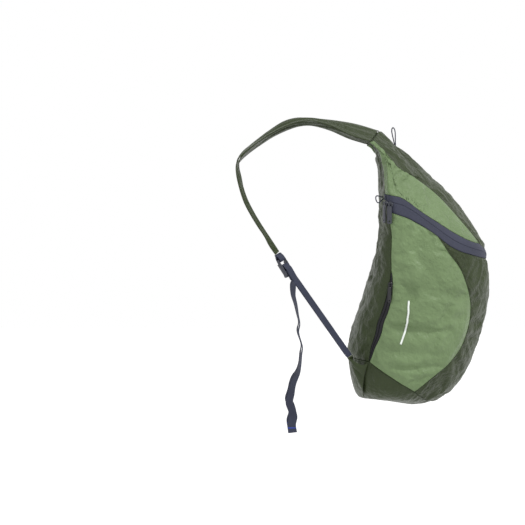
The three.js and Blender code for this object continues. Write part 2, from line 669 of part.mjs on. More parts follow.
// Turn and place down the body of the skin point that is seen at a place from the side.
function skinPlace(out, down) {
  const target = sidePlace(out, down);
  let low = 0;
  let high = 0.99;
  for (let i = 0; i < 40; i += 1) {
    const middle = (low + high) / 2;
    const section = sectionAt(middle);
    const offset = target.clone().sub(section.back);
    const below = section.half.x * offset.y - section.half.y * offset.x > 0;
    if (below) low = middle;
    else high = middle;
  }
  const section = sectionAt(low);
  const along = target.clone().sub(section.middle).dot(section.half) / section.half.lengthSq();
  const share = THREE.MathUtils.clamp(along, -0.985, 0.985);
  return { turn: turnAt(section, share), down: low };
}

// Seams

// Points along a curve of places on the skin, evenly spaced, as many as count + 1.
function seamPoints(places, count) {
  const stretch = 3; // the body is about three times as long down as a radian is round it
  const curve = new THREE.CatmullRomCurve3(
    places.map((place) => vector(place.turn, place.down * stretch, 0)),
    false,
    "centripetal",
  );
  return curve.getSpacedPoints(count).map((p) => ({ turn: p.x, down: p.y / stretch }));
}

function seam(name, count, { first = [], last = [] } = {}) {
  const places = SEAMS[name].map((row) => skinPlace(row.out, row.down));
  return seamPoints([...first, ...places, ...last], count);
}

function level(fromTurn, toTurn, down, count) {
  return Array.from({ length: count + 1 }, (_, i) => ({ turn: mix(fromTurn, toTurn, i / count), down }));
}

const ARMPIT_FRONT = { turn: 72 * DEG, down: 0 };
const ARMPIT_BACK = { turn: 106 * DEG, down: 0 };

// Lines across the front sag a little from the side to the middle.
function acrossFront(edge, middle, count) {
  return Array.from({ length: count + 1 }, (_, i) => {
    const share = i / count;
    return { turn: edge.turn * share, down: mix(middle.down, edge.down, share * share) };
  });
}

// Place down the body of a line at a turn. The line's places run from the front to the back.
function downAt(turn, line) {
  const found = line.findIndex((place) => place.turn >= turn);
  const after = found < 0 ? line.length - 1 : Math.max(found, 1);
  const [a, b] = [line[after - 1], line[after]];
  return mix(a.down, b.down, THREE.MathUtils.clamp((turn - a.turn) / (b.turn - a.turn), 0, 1));
}

// Turns between two turns, at even distances along a line.
function evenTurns(line, from, to, count) {
  const turns = Array.from({ length: FINE + 1 }, (_, i) => mix(from, to, i / FINE));
  const points = turns.map((turn) => smoothSkin(turn, downAt(turn, line)));
  const lengths = [0];
  points.slice(1).forEach((point, i) => lengths.push(lengths[i] + point.distanceTo(points[i])));
  return Array.from({ length: count + 1 }, (_, i) => {
    const wanted = (lengths[FINE] * i) / count;
    return i === count ? to : turns[lengths.findIndex((length) => length >= wanted)];
  });
}

const D = DIVISIONS;
const FINE = 200; // steps that a line is measured by
const BAND_SAG = 0.028; // of the lower edge of the band at the front middle, below its upper edge
const BAND_SAG_BESIDE = 0.4; // of that sag, half way to the side
const FRONT_BOTTOM_SAG = 0.012; // of the front panel's bottom edge at the middle
const BACK_BOTTOM_RISE = 0.01; // of the back panel's bottom edge at the middle
const TURN_STEP = 0.01; // small turn that the skin is measured by, in radians
const FRONT_BAND = skinPlace(BAND_MIDDLE.out, BAND_MIDDLE.down).down;
const upperBack = seam("upperBack", D.upperRows, { first: [ARMPIT_BACK] });
const upperFront = seam("upperFront", D.upperRows, { first: [ARMPIT_FRONT] });
const lowerFront = seam("lowerFront", D.lowerRows);
const lowerBack = seam("lowerBack", D.lowerRows);
const bottomFront = seam("bottomFront", D.tipRows);
const lowerBottom = seam("lowerBottom", D.sideColumns);
const upperLine = [
  ...acrossFront(upperFront[D.upperRows], { down: FRONT_BAND }, FINE),
  ...seam("bandUpper", FINE).reverse().slice(1),
];
const lowerLine = (() => {
  const places = SEAMS.bandLower.map((row) => skinPlace(row.out, row.down)).reverse();
  const middle = { turn: 0, down: FRONT_BAND + BAND_SAG };
  const beside = { turn: places[0].turn / 2, down: mix(middle.down, places[0].down, BAND_SAG_BESIDE) };
  return seamPoints([middle, beside, ...places], FINE);
})();

// Both edges of the band have their points at the same turns, which both corners are among.
const topCorner = upperFront[D.upperRows].turn;
const frontCorner = lowerFront[0].turn;
const frontTurns = [
  ...evenTurns(upperLine, 0, topCorner, D.frontColumns),
  ...evenTurns(upperLine, topCorner, frontCorner, D.cornerColumns).slice(1),
];
const onLine = (line) => {
  const end = line[line.length - 1].turn;
  const turns = [...frontTurns, ...evenTurns(line, frontCorner, end, D.sideColumns).slice(1)];
  return turns.map((turn) => ({ turn, down: downAt(turn, line) }));
};
const upperEdge = onLine(upperLine);
const lowerEdge = onLine(lowerLine);
const FRONT_COLUMNS = D.frontColumns + D.cornerColumns;
upperFront[D.upperRows] = upperEdge[D.frontColumns];
upperBack[D.upperRows] = upperEdge[upperEdge.length - 1];
lowerFront[0] = lowerEdge[FRONT_COLUMNS];
lowerBack[0] = lowerEdge[lowerEdge.length - 1];
lowerBottom[0] = lowerBack[D.lowerRows];
lowerBottom[D.sideColumns] = lowerFront[D.lowerRows];
bottomFront[0] = lowerFront[D.lowerRows];
const bandEnd = [0, 1, 2].map((i) => ({
  turn: mix(upperBack[D.upperRows].turn, lowerBack[0].turn, i / D.bandRows),
  down: mix(upperBack[D.upperRows].down, lowerBack[0].down, i / D.bandRows),
}));

const POCKET_TOP = skinPlace(POCKET_ZIP_TOP.out, POCKET_ZIP_TOP.down).down;

// Turn that covers a length round the skin at a place.
function turnFor(length, { turn, down }) {
  const step = smoothSkin(turn - TURN_STEP, down).distanceTo(smoothSkin(turn, down));
  return (TURN_STEP * length) / step;
}

// On the pocket's side the lower side panel starts in front of the pocket zip.
function pocketFront() {
  return lowerBack.map((place) => {
    const share = (place.down - POCKET_TOP) / (lowerBack[D.lowerRows].down - POCKET_TOP);
    const gape = share <= 0 ? 0 : POCKET_ZIP_WIDTH * Math.sin(Math.PI * Math.min(share, 1)) ** 0.7;
    return { turn: place.turn - turnFor(gape, place), down: place.down };
  });
}

const mirrored = (places) => places.map((place) => ({ turn: -place.turn, down: place.down }));
const backwards = (places) => [...places].reverse();

// A row of places from one side across the front middle to the other side.
function bothSides(half) {
  return [...backwards(mirrored(half)), ...half.slice(1)];
}

// Wall of a cloth panel whose four edges are lists of places on the skin. Top and bottom run the same
// way, and so do left and right. Every edge is drawn in by half a seam's gap.
function panelPlaces(top, bottom, left, right) {
  const rows = left.length - 1;
  const columns = top.length - 1;
  return left.map((_, r) =>
    top.map((__, c) => {
      const u = c / columns;
      const v = r / rows;
      const value = (key) =>
        mix(top[c][key], bottom[c][key], v) +
        mix(left[r][key], right[r][key], u) -
        mix(mix(top[0][key], top[columns][key], u), mix(bottom[0][key], bottom[columns][key], u), v);
      return { turn: value("turn"), down: value("down") };
    }),
  );
}

// Moves the rim of a grid of points inwards along the surface.
function drawnIn(grid, gap) {
  const rows = grid.length - 1;
  const columns = grid[0].length - 1;
  const pull = (point, inside, before, after) => {
    const along = after.clone().sub(before).normalize();
    const inwards = inside.clone().sub(point);
    inwards.addScaledVector(along, -inwards.dot(along));
    return inwards.setLength(gap);
  };
  return grid.map((row, r) =>
    row.map((point, c) => {
      const moved = point.clone();
      const beside = [row[Math.max(c - 1, 0)], row[Math.min(c + 1, columns)]];
      const aboveBelow = [grid[Math.max(r - 1, 0)][c], grid[Math.min(r + 1, rows)][c]];
      if (r === 0) moved.add(pull(point, grid[1][c], ...beside));
      if (r === rows) moved.add(pull(point, grid[rows - 1][c], ...beside));
      if (c === 0) moved.add(pull(point, row[1], ...aboveBelow));
      if (c === columns) moved.add(pull(point, row[columns - 1], ...aboveBelow));
      return moved;
    }),
  );
}

function wallGeometry(places, wall, raise = 0) {
  const outer = places.map((row) => row.map((p) => skin(p.turn, p.down)));
  const inwards = places.map((row) => row.map((p) => skinNormal(p.turn, p.down)));
  const lifted = outer.map((row, r) => row.map((p, c) => p.clone().addScaledVector(inwards[r][c], raise)));
  const pulled = drawnIn(lifted, SEAM_GAP / 2);
  const inner = pulled.map((row, r) => row.map((p, c) => p.clone().addScaledVector(inwards[r][c], -wall)));
  return sheetSolid(pulled, inner);
}

function addPanel(name, look, top, bottom, left, right) {
  addPiece(name, wallGeometry(panelPlaces(top, bottom, left, right), CLOTH_WALL), look);
}

const SIDES = [
  { tag: "l", sign: -1 },
  { tag: "r", sign: 1 },
];

function forSide(places, sign) {
  return sign < 0 ? mirrored(places) : places;
}

// Cloth panels

function addTopPanel() {
  const neck = bothSides(level(0, ARMPIT_FRONT.turn, 0, D.frontColumns));
  const bottom = bothSides(upperEdge.slice(0, D.frontColumns + 1));
  addPanel("top_panel", LOOKS.darkCloth, neck, bottom, mirrored(upperFront), upperFront);
}

const frontSide = [...lowerFront, ...bottomFront.slice(1)];
const frontBottom = (() => {
  const corner = frontSide[frontSide.length - 1];
  return acrossFront(corner, { down: corner.down + FRONT_BOTTOM_SAG }, FRONT_COLUMNS);
})();

function addFrontPanel() {
  const top = bothSides(lowerEdge.slice(0, FRONT_COLUMNS + 1));
  addPanel("front_panel", LOOKS.darkCloth, top, bothSides(frontBottom), mirrored(frontSide), frontSide);
}

function addSidePanels() {
  const armpit = level(ARMPIT_FRONT.turn, ARMPIT_BACK.turn, 0, D.cornerColumns + D.sideColumns);
  const upperBottom = upperEdge.slice(D.frontColumns);
  const lowerTop = lowerEdge.slice(FRONT_COLUMNS);
  for (const { tag, sign } of SIDES) {
    const side = (places) => forSide(places, sign);
    const upper = [armpit, upperBottom, upperFront, upperBack];
    addPanel(`upper_side_${tag}`, LOOKS.lightCloth, ...upper.map(side));
    const lower = [lowerTop, backwards(lowerBottom), lowerFront, sign < 0 ? pocketFront() : lowerBack];
    addPanel(`lower_side_${tag}`, LOOKS.lightCloth, ...lower.map(side));
  }
}

const backSide = [...upperBack, ...bandEnd.slice(1), ...lowerBack.slice(1)];
const backBottom = Array.from({ length: D.backHalf + 1 }, (_, i) => {
  const corner = backSide[backSide.length - 1];
  const share = i / D.backHalf;
  const rise = BACK_BOTTOM_RISE * Math.sin((Math.PI / 2) * share);
  return { turn: mix(corner.turn, Math.PI, share), down: corner.down - rise };
});

function addBackPanel() {
  const otherSide = (places) => places.map((place) => ({ turn: 2 * Math.PI - place.turn, down: place.down }));
  const round = (half) => [...half, ...otherSide(backwards(half).slice(1))];
  const neck = level(ARMPIT_BACK.turn, Math.PI, 0, D.backHalf);
  addPanel("back_panel", LOOKS.darkCloth, round(neck), round(backBottom), backSide, otherSide(backSide));
}

// The bottom is a bowl whose rim meets the front, side and back panels.
function addBottomPanel() {
  const half = [
    ...frontBottom,
    ...backwards(bottomFront).slice(1),
    ...backwards(lowerBottom).slice(1),
    ...backBottom.slice(1),
  ];
  const rim = [...half, ...backwards(mirrored(half)).slice(1, -1)];
  const rings = Array.from({ length: D.bottomRings + 1 }, (_, r) =>
    rim.map((place) => ({ turn: place.turn, down: mix(place.down, 0.985, (r / D.bottomRings) ** 0.9) })),
  );
  const outer = rings.map((ring) => ring.map((place) => skin(place.turn, place.down)));
  const inwards = rings.map((ring) => ring.map((place) => skinNormal(place.turn, place.down)));
  const drawn = outer.map((ring, r) =>
    ring.map((point, k) => {
      if (r > 0) return point;
      const [before, after] = [ring.at(k - 1), ring[(k + 1) % ring.length]];
      const around = after.clone().sub(before).normalize();
      const inside = outer[1][k].clone().sub(point);
      inside.addScaledVector(around, -inside.dot(around));
      return point.clone().add(inside.setLength(SEAM_GAP / 2));
    }),
  );
  const inner = drawn.map((ring, r) =>
    ring.map((point, k) => point.clone().addScaledVector(inwards[r][k], -CLOTH_WALL)),
  );
  const pole = smoothSkin(0, 1);
  const raisedPole = pole.clone().add(vector(0, 0, CLOTH_WALL));
  addPiece("bottom_panel", bowlSolid(drawn, inner, pole, raisedPole), LOOKS.darkCloth);
}

// Main zip

// Line along the band at a share of its width, from 0 at the upper edge to 1 at the lower edge.
function bandLine(share) {
  return upperEdge.map((upper, i) => ({
    turn: mix(upper.turn, lowerEdge[i].turn, share),
    down: mix(upper.down, lowerEdge[i].down, share),
  }));
}

function addMainZip() {
  const coilHalf = COIL_WIDTH / BAND_WIDTH / 2;
  const tapes = [
    { name: "main_zip_tape_upper", shares: [0, 0.25, 0.5] },
    { name: "main_zip_tape_lower", shares: [0.5, 0.75, 1] },
  ];
  for (const { name, shares } of tapes) {
    const places = shares.map((share) => bothSides(bandLine(share)));
    addPiece(name, wallGeometry(places, TAPE_THICKNESS), LOOKS.zipTape);
  }
  const lines = [0.5 - coilHalf, 0.5 + coilHalf].map((share) => bothSides(bandLine(share).slice(0, -1)));
  const coil = wallGeometry(lines, COIL_THICKNESS, -TAPE_THICKNESS - SEAM_GAP);
  addPiece("main_zip_coil", coil, LOOKS.zipTape);
}

// Main zip ends

// A folded tab covers the upper part of each end of the main zip.
function addZipEnds() {
  const along = [0, 0.5, 1];
  const end = bandEnd[0];
  const reach = turnFor(ZIP_END_LENGTH, end);
  for (const { tag, sign } of SIDES) {
    const places = [-ZIP_END_OVERLAP, 0.5 * ZIP_END_SHARE, ZIP_END_SHARE].map((share) =>
      along.map((forward) => ({
        turn: sign * (end.turn + reach * mix(ZIP_END_BEHIND, -1, forward)),
        down: mix(bandEnd[0].down, bandEnd[D.bandRows].down, share),
      })),
    );
    const raise = SEAM_GAP + ZIP_END_THICKNESS;
    addPiece(`zip_end_${tag}`, wallGeometry(places, ZIP_END_THICKNESS, raise), LOOKS.zipTape);
  }
}

// Straps

function neckMiddle(acrossShare) {
  const place = sidePlace(NECK_CURVES.out(acrossShare), NECK_CURVES.down(acrossShare));
  return vector((acrossShare * BODY_WIDTH) / 2, place.x, place.y);
}

// Place on a strap by its shares of the strap's own reach and drop.
function strapPlace(fore, drop, across) {
  const reach = fore > 0 ? CHEST_REACH : SHOULDER_REACH;
  return vector((across * BODY_WIDTH) / 2, fore * reach, -drop * STRAP_DROP);
}

// Point of the strap's root, just above the neck seam that it is sewn to.
function strapRoot(share) {
  const across = mix(STRAP_ROOT.inner, STRAP_ROOT.outer, share);
  const up = vector(0, NECK_UP.y, NECK_UP.z);
  return neckMiddle(across).addScaledVector(up, STRAP_THICKNESS / 2 + SEAM_GAP);
}

function strapEdges() {
  const inner = STRAP.map((row) => strapPlace(...row.inner));
  const outer = STRAP.map((row) => strapPlace(...row.outer));
  const edges = [
    [strapRoot(0), ...inner],
    [strapRoot(1), ...outer],
  ];
  return edges.map((points) => new THREE.CatmullRomCurve3(points, false, "centripetal"));
}

// Grid over the strap: rows from root to end, columns from its inner to its outer edge.
function strapGrid() {
  const [inner, outer] = strapEdges();
  const count = STRAP.length;
  return Array.from({ length: STRAP_ROWS + 1 }, (_, r) => {
    const along = (r / STRAP_ROWS) ** 0.9;
    const place = Math.min(along * count, count) / count;
    const a = inner.getPoint(place);
    const b = outer.getPoint(place);
    const tangent = inner.getTangent(place).add(outer.getTangent(place));
    const up = tangent.cross(b.clone().sub(a)).normalize().negate();
    const fade = Math.sin(Math.PI * Math.min(along / STRAP_PLEAT_END, 1)) ** 0.8;
    const atRoot = 1 - easeInOut(place * count);
    return Array.from({ length: STRAP_COLUMNS + 1 }, (__, c) => {
      const share = c / STRAP_COLUMNS;
      const wave = Math.sin(STRAP_PLEATS * 2 * Math.PI * share) * Math.sin(Math.PI * share);
      const bow = strapRoot(share).sub(strapRoot(0).lerp(strapRoot(1), share));
      const point = a.clone().lerp(b, share).addScaledVector(bow, atRoot);
      return { point: point.addScaledVector(up, STRAP_PLEAT * fade * wave), up };
    });
  });
}

function addStraps() {
  const grid = strapGrid();
  for (const { tag, sign } of SIDES) {
    const layer = (lift) =>
      grid.map((row) => row.map(({ point, up }) => mirrorX(point.clone().addScaledVector(up, lift), sign)));
    const half = STRAP_THICKNESS / 2;
    addPiece(`strap_${tag}`, sheetSolid(layer(half), layer(-half)), LOOKS.darkCloth);
  }
}

function mirrorX(point, sign) {
  point.x *= sign;
  return point;
}

// Buckle

// Frame of the buckle: along runs down from the strap, out faces forward and wide runs across.
function buckleFrame() {
  const last = STRAP[STRAP.length - 1];
  const strapEnd = strapPlace(...last.inner).add(strapPlace(...last.outer)).multiplyScalar(0.5);
  const lean = BUCKLE_LEAN * DEG;
  const roll = WEBBING_ROLL * DEG;
  const along = vector(0, -Math.sin(lean), -Math.cos(lean));
  const forward = vector(0, Math.cos(lean), -Math.sin(lean));
  const sideways = vector(1, 0, 0);
  const wide = sideways.clone().multiplyScalar(Math.cos(roll)).addScaledVector(forward, Math.sin(roll));
  const out = forward.clone().multiplyScalar(Math.cos(roll)).addScaledVector(sideways, -Math.sin(roll));
  const origin = strapEnd.clone().addScaledVector(along, BUCKLE_DISTANCE);
  return { origin, along, wide, out };
}

const BUCKLE = buckleFrame();

// Point in the buckle's frame: s along it from its upper bar and n out of its face.
function buckleSpot(s, n) {
  return BUCKLE.origin.clone().addScaledVector(BUCKLE.along, s).addScaledVector(BUCKLE.out, n);
}

const BUCKLE_SLOT = (BUCKLE_LENGTH - 2 * BUCKLE_BAR - BUCKLE_LIP_LENGTH) / 2;
const MIDDLE_BAR = BUCKLE_BAR + BUCKLE_SLOT;
const LIP_START = BUCKLE_LENGTH - BUCKLE_LIP_LENGTH;
const PLY = Math.hypot(BUCKLE_THICKNESS, BUCKLE_BAR) / 2 + WEBBING_CLEARANCE + WEBBING_THICKNESS / 2;

function rectanglePath(path, x0, y0, x1, y1) {
  path.moveTo(x0, y0);
  path.lineTo(x1, y0);
  path.lineTo(x1, y1);
  path.lineTo(x0, y1);
  path.closePath();
  return path;
}

function roundedShape(width, from, to, radius) {
  const half = width / 2;
  const shape = new THREE.Shape();
  shape.moveTo(-half + radius, from);
  shape.lineTo(half - radius, from);
  shape.absarc(half - radius, from + radius, radius, -Math.PI / 2, 0);
  shape.lineTo(half, to - radius);
  shape.absarc(half - radius, to - radius, radius, 0, Math.PI / 2);
  shape.lineTo(-half + radius, to);
  shape.absarc(-half + radius, to - radius, radius, Math.PI / 2, Math.PI);
  shape.lineTo(-half, from + radius);
  shape.absarc(-half + radius, from + radius, radius, Math.PI, 1.5 * Math.PI);
  return shape;
}

function buckleGeometry() {
  const slotWidth = WEBBING_WIDTH + 2 * WEBBING_CLEARANCE;
  const width = slotWidth + 2 * BUCKLE_RAIL;
  const outline = roundedShape(width, 0, BUCKLE_LENGTH, BUCKLE_RAIL);
  for (const start of [BUCKLE_BAR, MIDDLE_BAR + BUCKLE_BAR]) {
    const hole = new THREE.Path();
    outline.holes.push(rectanglePath(hole, -slotWidth / 2, start, slotWidth / 2, start + BUCKLE_SLOT));
  }
  const options = { depth: BUCKLE_THICKNESS, bevelEnabled: false, curveSegments: 2 };
  const plate = new THREE.ExtrudeGeometry(outline, options);
  plate.translate(0, 0, -BUCKLE_THICKNESS / 2);
  const top = BUCKLE_THICKNESS / 2;
  const lip = new THREE.Shape();
  const ends = [LIP_START + BUCKLE_LIP_INSET, BUCKLE_LENGTH - BUCKLE_LIP_INSET];
  lip.moveTo(ends[0], top - BUCKLE_LIP_INSET);
  for (let i = 0; i <= BUCKLE_RIBS; i += 1) {
    const s = mix(...ends, (i + 0.5) / (BUCKLE_RIBS + 1));
    const height = mix(1 - 2 * BUCKLE_RIB_STEP, 1, i / BUCKLE_RIBS);
    lip.lineTo(s - BUCKLE_RIB_WIDTH / 2, top + BUCKLE_LIP * (height - BUCKLE_RIB_STEP));
    lip.lineTo(s + BUCKLE_RIB_WIDTH / 2, top + BUCKLE_LIP * height);
  }
  lip.lineTo(ends[1], top - BUCKLE_LIP_INSET);
  lip.closePath();
  const turn = new THREE.Matrix4().makeBasis(vector(0, 1, 0), vector(0, 0, 1), vector(1, 0, 0));
  const lipWidth = width - BUCKLE_RAIL * BUCKLE_LIP_INSET;
  const upright = new THREE.ExtrudeGeometry(lip, { depth: lipWidth, bevelEnabled: false });
  upright.applyMatrix4(turn).translate(-lipWidth / 2, 0, 0);
  return fromSolid(toSolid(plate).add(toSolid(upright)));
}

function addBuckles() {
  const geometry = buckleGeometry();
  for (const { tag, sign } of SIDES) {
    const { wide, along, out, origin } = BUCKLE;
    const place = new THREE.Matrix4().makeBasis(wide, along, out).setPosition(origin);
    const placed = geometry.clone().applyMatrix4(place);
    if (sign < 0) placed.scale(-1, 1, 1);
    addPiece(`ladder_lock_${tag}`, outward(placed), LOOKS.plastic);
  }
}

// Faces of a closed geometry turned outwards, whatever mirroring it has been through.
function outward(geometry) {
  const bare = geometry.clone();
  bare.deleteAttribute("normal");
  bare.deleteAttribute("uv");
  const merged = mergeVertices(bare, 1e-4);
  return facingOut([...merged.attributes.position.array], [...merged.index.array]);
}

// Flat webbing along a path: each step has its middle and its wide and thick directions.
function webbingSolid(steps, sign) {
  const layer = (lift) =>
    steps.map(({ middle, wide, out }) =>
      [-WEBBING_WIDTH / 2, WEBBING_WIDTH / 2].map((across) =>
        mirrorX(middle.clone().addScaledVector(wide, across).addScaledVector(out, lift), sign),
      ),
    );
  return sheetSolid(layer(WEBBING_THICKNESS / 2), layer(-WEBBING_THICKNESS / 2));
}

// Steps along points in the buckle's frame, with the thick direction square to the path.
function buckleSteps(spots) {
  return spots.map(([s, n], i) => {
    const before = spots[Math.max(i - 1, 0)];
    const after = spots[Math.min(i + 1, spots.length - 1)];
    const alongS = after[0] - before[0];
    const alongN = after[1] - before[1];
    const size = Math.hypot(alongS, alongN);
    const out = BUCKLE.out.clone().multiplyScalar(alongS / size);
    out.addScaledVector(BUCKLE.along, -alongN / size);
    return { middle: buckleSpot(s, n), wide: BUCKLE.wide, out };
  });
}

function halfTurn(s, radius, fromAngle, toAngle) {
  return Array.from({ length: HALF_TURN_STEPS + 1 }, (_, i) => {
    const angle = mix(fromAngle, toAngle, i / HALF_TURN_STEPS) * DEG;
    return [s + radius * Math.cos(angle), radius * Math.sin(angle)];
  });
}

// Short webbing that is sewn to the strap and goes round the upper bar.
function addStrapWebbing() {
  const start = 2 * SEAM_GAP - BUCKLE_DISTANCE;
  const bar = BUCKLE_BAR / 2;
  const near = WEBBING_THICKNESS / 2 + WEBBING_CLEARANCE / 2;
  const spots = [
    [start, near],
    [start + 3, near],
    [bar - 4.5, PLY - 0.6],
    ...halfTurn(bar, PLY, 90, -90),
    [bar - 4.5, 0.6 - PLY],
    [start + 3, -near],
    [start + 1, -near],
  ];
  for (const { tag, sign } of SIDES) {
    addPiece(`strap_webbing_${tag}`, webbingSolid(buckleSteps(spots), sign), LOOKS.webbing);
  }
}

// Lower webbing

const ANCHOR = (() => {
  const place = sidePlace(WING_TIP.out, WING_TIP.down);
  return vector((WING_TIP.across * BODY_WIDTH) / 2, place.x, place.y);
})();

// Comes up from the wing, goes round the buckle's middle bar and hangs down as a loose tail.
function webbingSteps() {
  const lower = PLY + WEBBING_THICKNESS + WEBBING_CLEARANCE;
  const bar = MIDDLE_BAR + BUCKLE_BAR / 2;
  const threaded = [
    [BUCKLE_LENGTH + 6, -lower],
    [LIP_START, -lower],
    [bar + 6, -lower + 0.2],
    [bar + 3, -PLY - 0.7],
    ...halfTurn(bar, PLY, 270, 90),
    [bar + 2.4, PLY - 0.3],
    [bar + 4.3, 1],
    [bar + 6.8, -1.2],
    [LIP_START - 2, 0.2 - PLY],
    [LIP_START + 0.5, -PLY],
    [BUCKLE_LENGTH + 1, -PLY],
    [BUCKLE_LENGTH + 4.5, 0.6 - PLY],
  ];
  const inBuckle = buckleSteps(threaded);
  const top = inBuckle[0];
  const pull = top.middle.clone().sub(ANCHOR).normalize();
  const out = pull.clone().cross(BUCKLE.wide).normalize();
  if (out.dot(top.out) < 0) out.negate();
  const end = ANCHOR.clone().addScaledVector(pull, SEAM_GAP + WING_THICKNESS / 2);
  const run = Array.from({ length: WEBBING_RUN_STEPS }, (_, i) => {
    const middle = end.clone().lerp(top.middle, i / WEBBING_RUN_STEPS);
    return { middle, wide: BUCKLE.wide, out };
  });
  return [...run, ...inBuckle, ...tailSteps(inBuckle[inBuckle.length - 1].middle)];
}

function tailSteps(start) {
  const spots = TAIL.map((row) => start.clone().add(vector(0, -row.sway * TAIL_SWAY, -row.down * TAIL_DROP)));
  let facing = BUCKLE.out;
  return spots.map((middle, i) => {
    const before = spots[Math.max(i - 1, 0)];
    const after = spots[Math.min(i + 1, spots.length - 1)];
    const path = after.clone().sub(before).normalize();
    const turn = TAIL[i].turn * DEG;
    const front = vector(1, 0, 0).cross(path).normalize();
    const wide = vector(Math.cos(turn), 0, 0).addScaledVector(front, -Math.sin(turn));
    const out = path.clone().cross(wide).normalize();
    facing = out.dot(facing) < 0 ? out.negate() : out;
    return { middle, wide, out: facing };
  });
}

function addWebbing() {
  const steps = webbingSteps();
  for (const { tag, sign } of SIDES) addPiece(`webbing_${tag}`, webbingSolid(steps, sign), LOOKS.webbing);
}

// Wings

// A pleated gusset from the body's lower back corner to the end of the webbing.
function addWings() {
  const corner = lowerBack[D.lowerRows];
  const base = Array.from({ length: WING_COLUMNS + 1 }, (_, c) => {
    const share = c / WING_COLUMNS;
    const turn = mix(corner.turn, WING_CORNER_TURN * DEG, share);
    const down = mix(corner.down + WING_BASE_DROP, WING_CORNER_DOWN, share);
    const lift = SEAM_GAP + WING_THICKNESS + WING_PLEAT;
    return smoothSkin(turn, down).addScaledVector(skinNormal(turn, down), lift);
  });
  const tipAt = (share) => ANCHOR.clone().addScaledVector(BUCKLE.wide, WEBBING_WIDTH * (0.5 - share));
  const tip = base.map((_, c) => tipAt(c / WING_COLUMNS));
  const across = base[WING_COLUMNS].clone().sub(base[0]);
  const out = across.cross(tip[0].clone().sub(base[0])).normalize();
  if (out.x < 0) out.negate();
  const grid = Array.from({ length: WING_ROWS + 1 }, (_, r) => {
    const share = r / WING_ROWS;
    const row = base.map((point, c) => point.clone().lerp(tip[c], share));
    const middle = row[WING_COLUMNS / 2].clone();
    return row.map((point, c) => {
      const height = Math.sin(Math.PI * (WING_WAVE_START + WING_WAVE_SPAN * share));
      const wave = height * Math.sin((c / WING_COLUMNS) * WING_PLEATS * 2 * Math.PI);
      const hollow = WING_HOLLOW * Math.sin(Math.PI * share);
      return point.lerp(middle, hollow).addScaledVector(out, WING_PLEAT * (wave + hollow));
    });
  });
  const normalAt = (r, c) => {
    const down = grid[Math.min(r + 1, WING_ROWS)][c].clone().sub(grid[Math.max(r - 1, 0)][c]);
    const along = grid[r][Math.min(c + 1, WING_COLUMNS)].clone().sub(grid[r][Math.max(c - 1, 0)]);
    return along.cross(down).normalize();
  };
  const normals = grid.map((row, r) => row.map((_, c) => normalAt(r, c)));
  const half = WING_THICKNESS / 2;
  for (const { tag, sign } of SIDES) {
    const layer = (lift) =>
      grid.map((row, r) => {
        const raise = lift + WING_BULGE * Math.sin((Math.PI * r) / WING_ROWS);
        return row.map((p, c) => mirrorX(p.clone().addScaledVector(normals[r][c], raise), sign));
      });
    addPiece(`wing_${tag}`, sheetSolid(layer(half), layer(-half)), LOOKS.darkCloth);
  }
}

// Sliders and pullers

// Frame on the skin: level runs forward along the cloth without rising, out is square to the cloth.
function skinFrame(place, sign, lift) {
  const turn = sign * place.turn;
  const out = skinNormal(turn, place.down);
  const level = vector(0, 0, 1).cross(out).normalize();
  if (level.y > 0) level.negate();
  const upright = out.clone().cross(level);
  if (upright.z < 0) upright.negate();
  const origin = skin(turn, place.down).addScaledVector(out, lift);
  return { origin, level, upright, out };
}

// Puts a geometry made with x forward, y up and z out into a frame.
function inFrame(geometry, { origin, level, upright, out }) {
  const place = new THREE.Matrix4().makeBasis(level, upright, out).setPosition(origin);
  return outward(geometry.clone().applyMatrix4(place));
}

// Slider body with the bridge that the puller's link hangs from. Slope is the zip's, in degrees.
function sliderGeometry(slope) {
  const corners = SLIDER_OUTLINE.map(
    ([along, across]) => new THREE.Vector2((along * SLIDER_LENGTH) / 2, (across * SLIDER_WIDTH) / 2),
  );
  const outline = new THREE.Shape(corners);
  const body = new THREE.ExtrudeGeometry(outline, {
    depth: SLIDER_HEIGHT - 2 * SLIDER_BEVEL,
    bevelEnabled: true,
    bevelThickness: SLIDER_BEVEL,
    bevelSize: SLIDER_BEVEL,
    bevelOffset: -SLIDER_BEVEL,
    bevelSegments: 1,
  });
  body.translate(0, 0, SLIDER_BEVEL).rotateZ(slope * DEG);
  const top = SLIDER_HEIGHT - SLIDER_BEVEL;
  const bar = HINGE_HEIGHT - HINGE_BAR / 2;
  const arch = new THREE.Shape();
  arch.moveTo(-BRIDGE_HALF, top);
  arch.lineTo(-BRIDGE_HALF, bar);
  arch.lineTo(-BRIDGE_HALF + HINGE_BAR, bar + HINGE_BAR);
  arch.lineTo(BRIDGE_HALF - HINGE_BAR, bar + HINGE_BAR);
  arch.lineTo(BRIDGE_HALF, bar);
  arch.lineTo(BRIDGE_HALF, top);
  arch.lineTo(BRIDGE_HALF - HINGE_BAR, top);
  arch.lineTo(BRIDGE_HALF - HINGE_BAR, bar);
  arch.lineTo(-BRIDGE_HALF + HINGE_BAR, bar);
  arch.lineTo(-BRIDGE_HALF + HINGE_BAR, top);
  arch.closePath();
  const bridge = new THREE.ExtrudeGeometry(arch, { depth: HINGE_BAR, bevelEnabled: false });
  bridge.rotateX(Math.PI / 2).translate(0, HINGE_BAR / 2, 0);
  return fromSolid(toSolid(body).add(toSolid(bridge)));
}

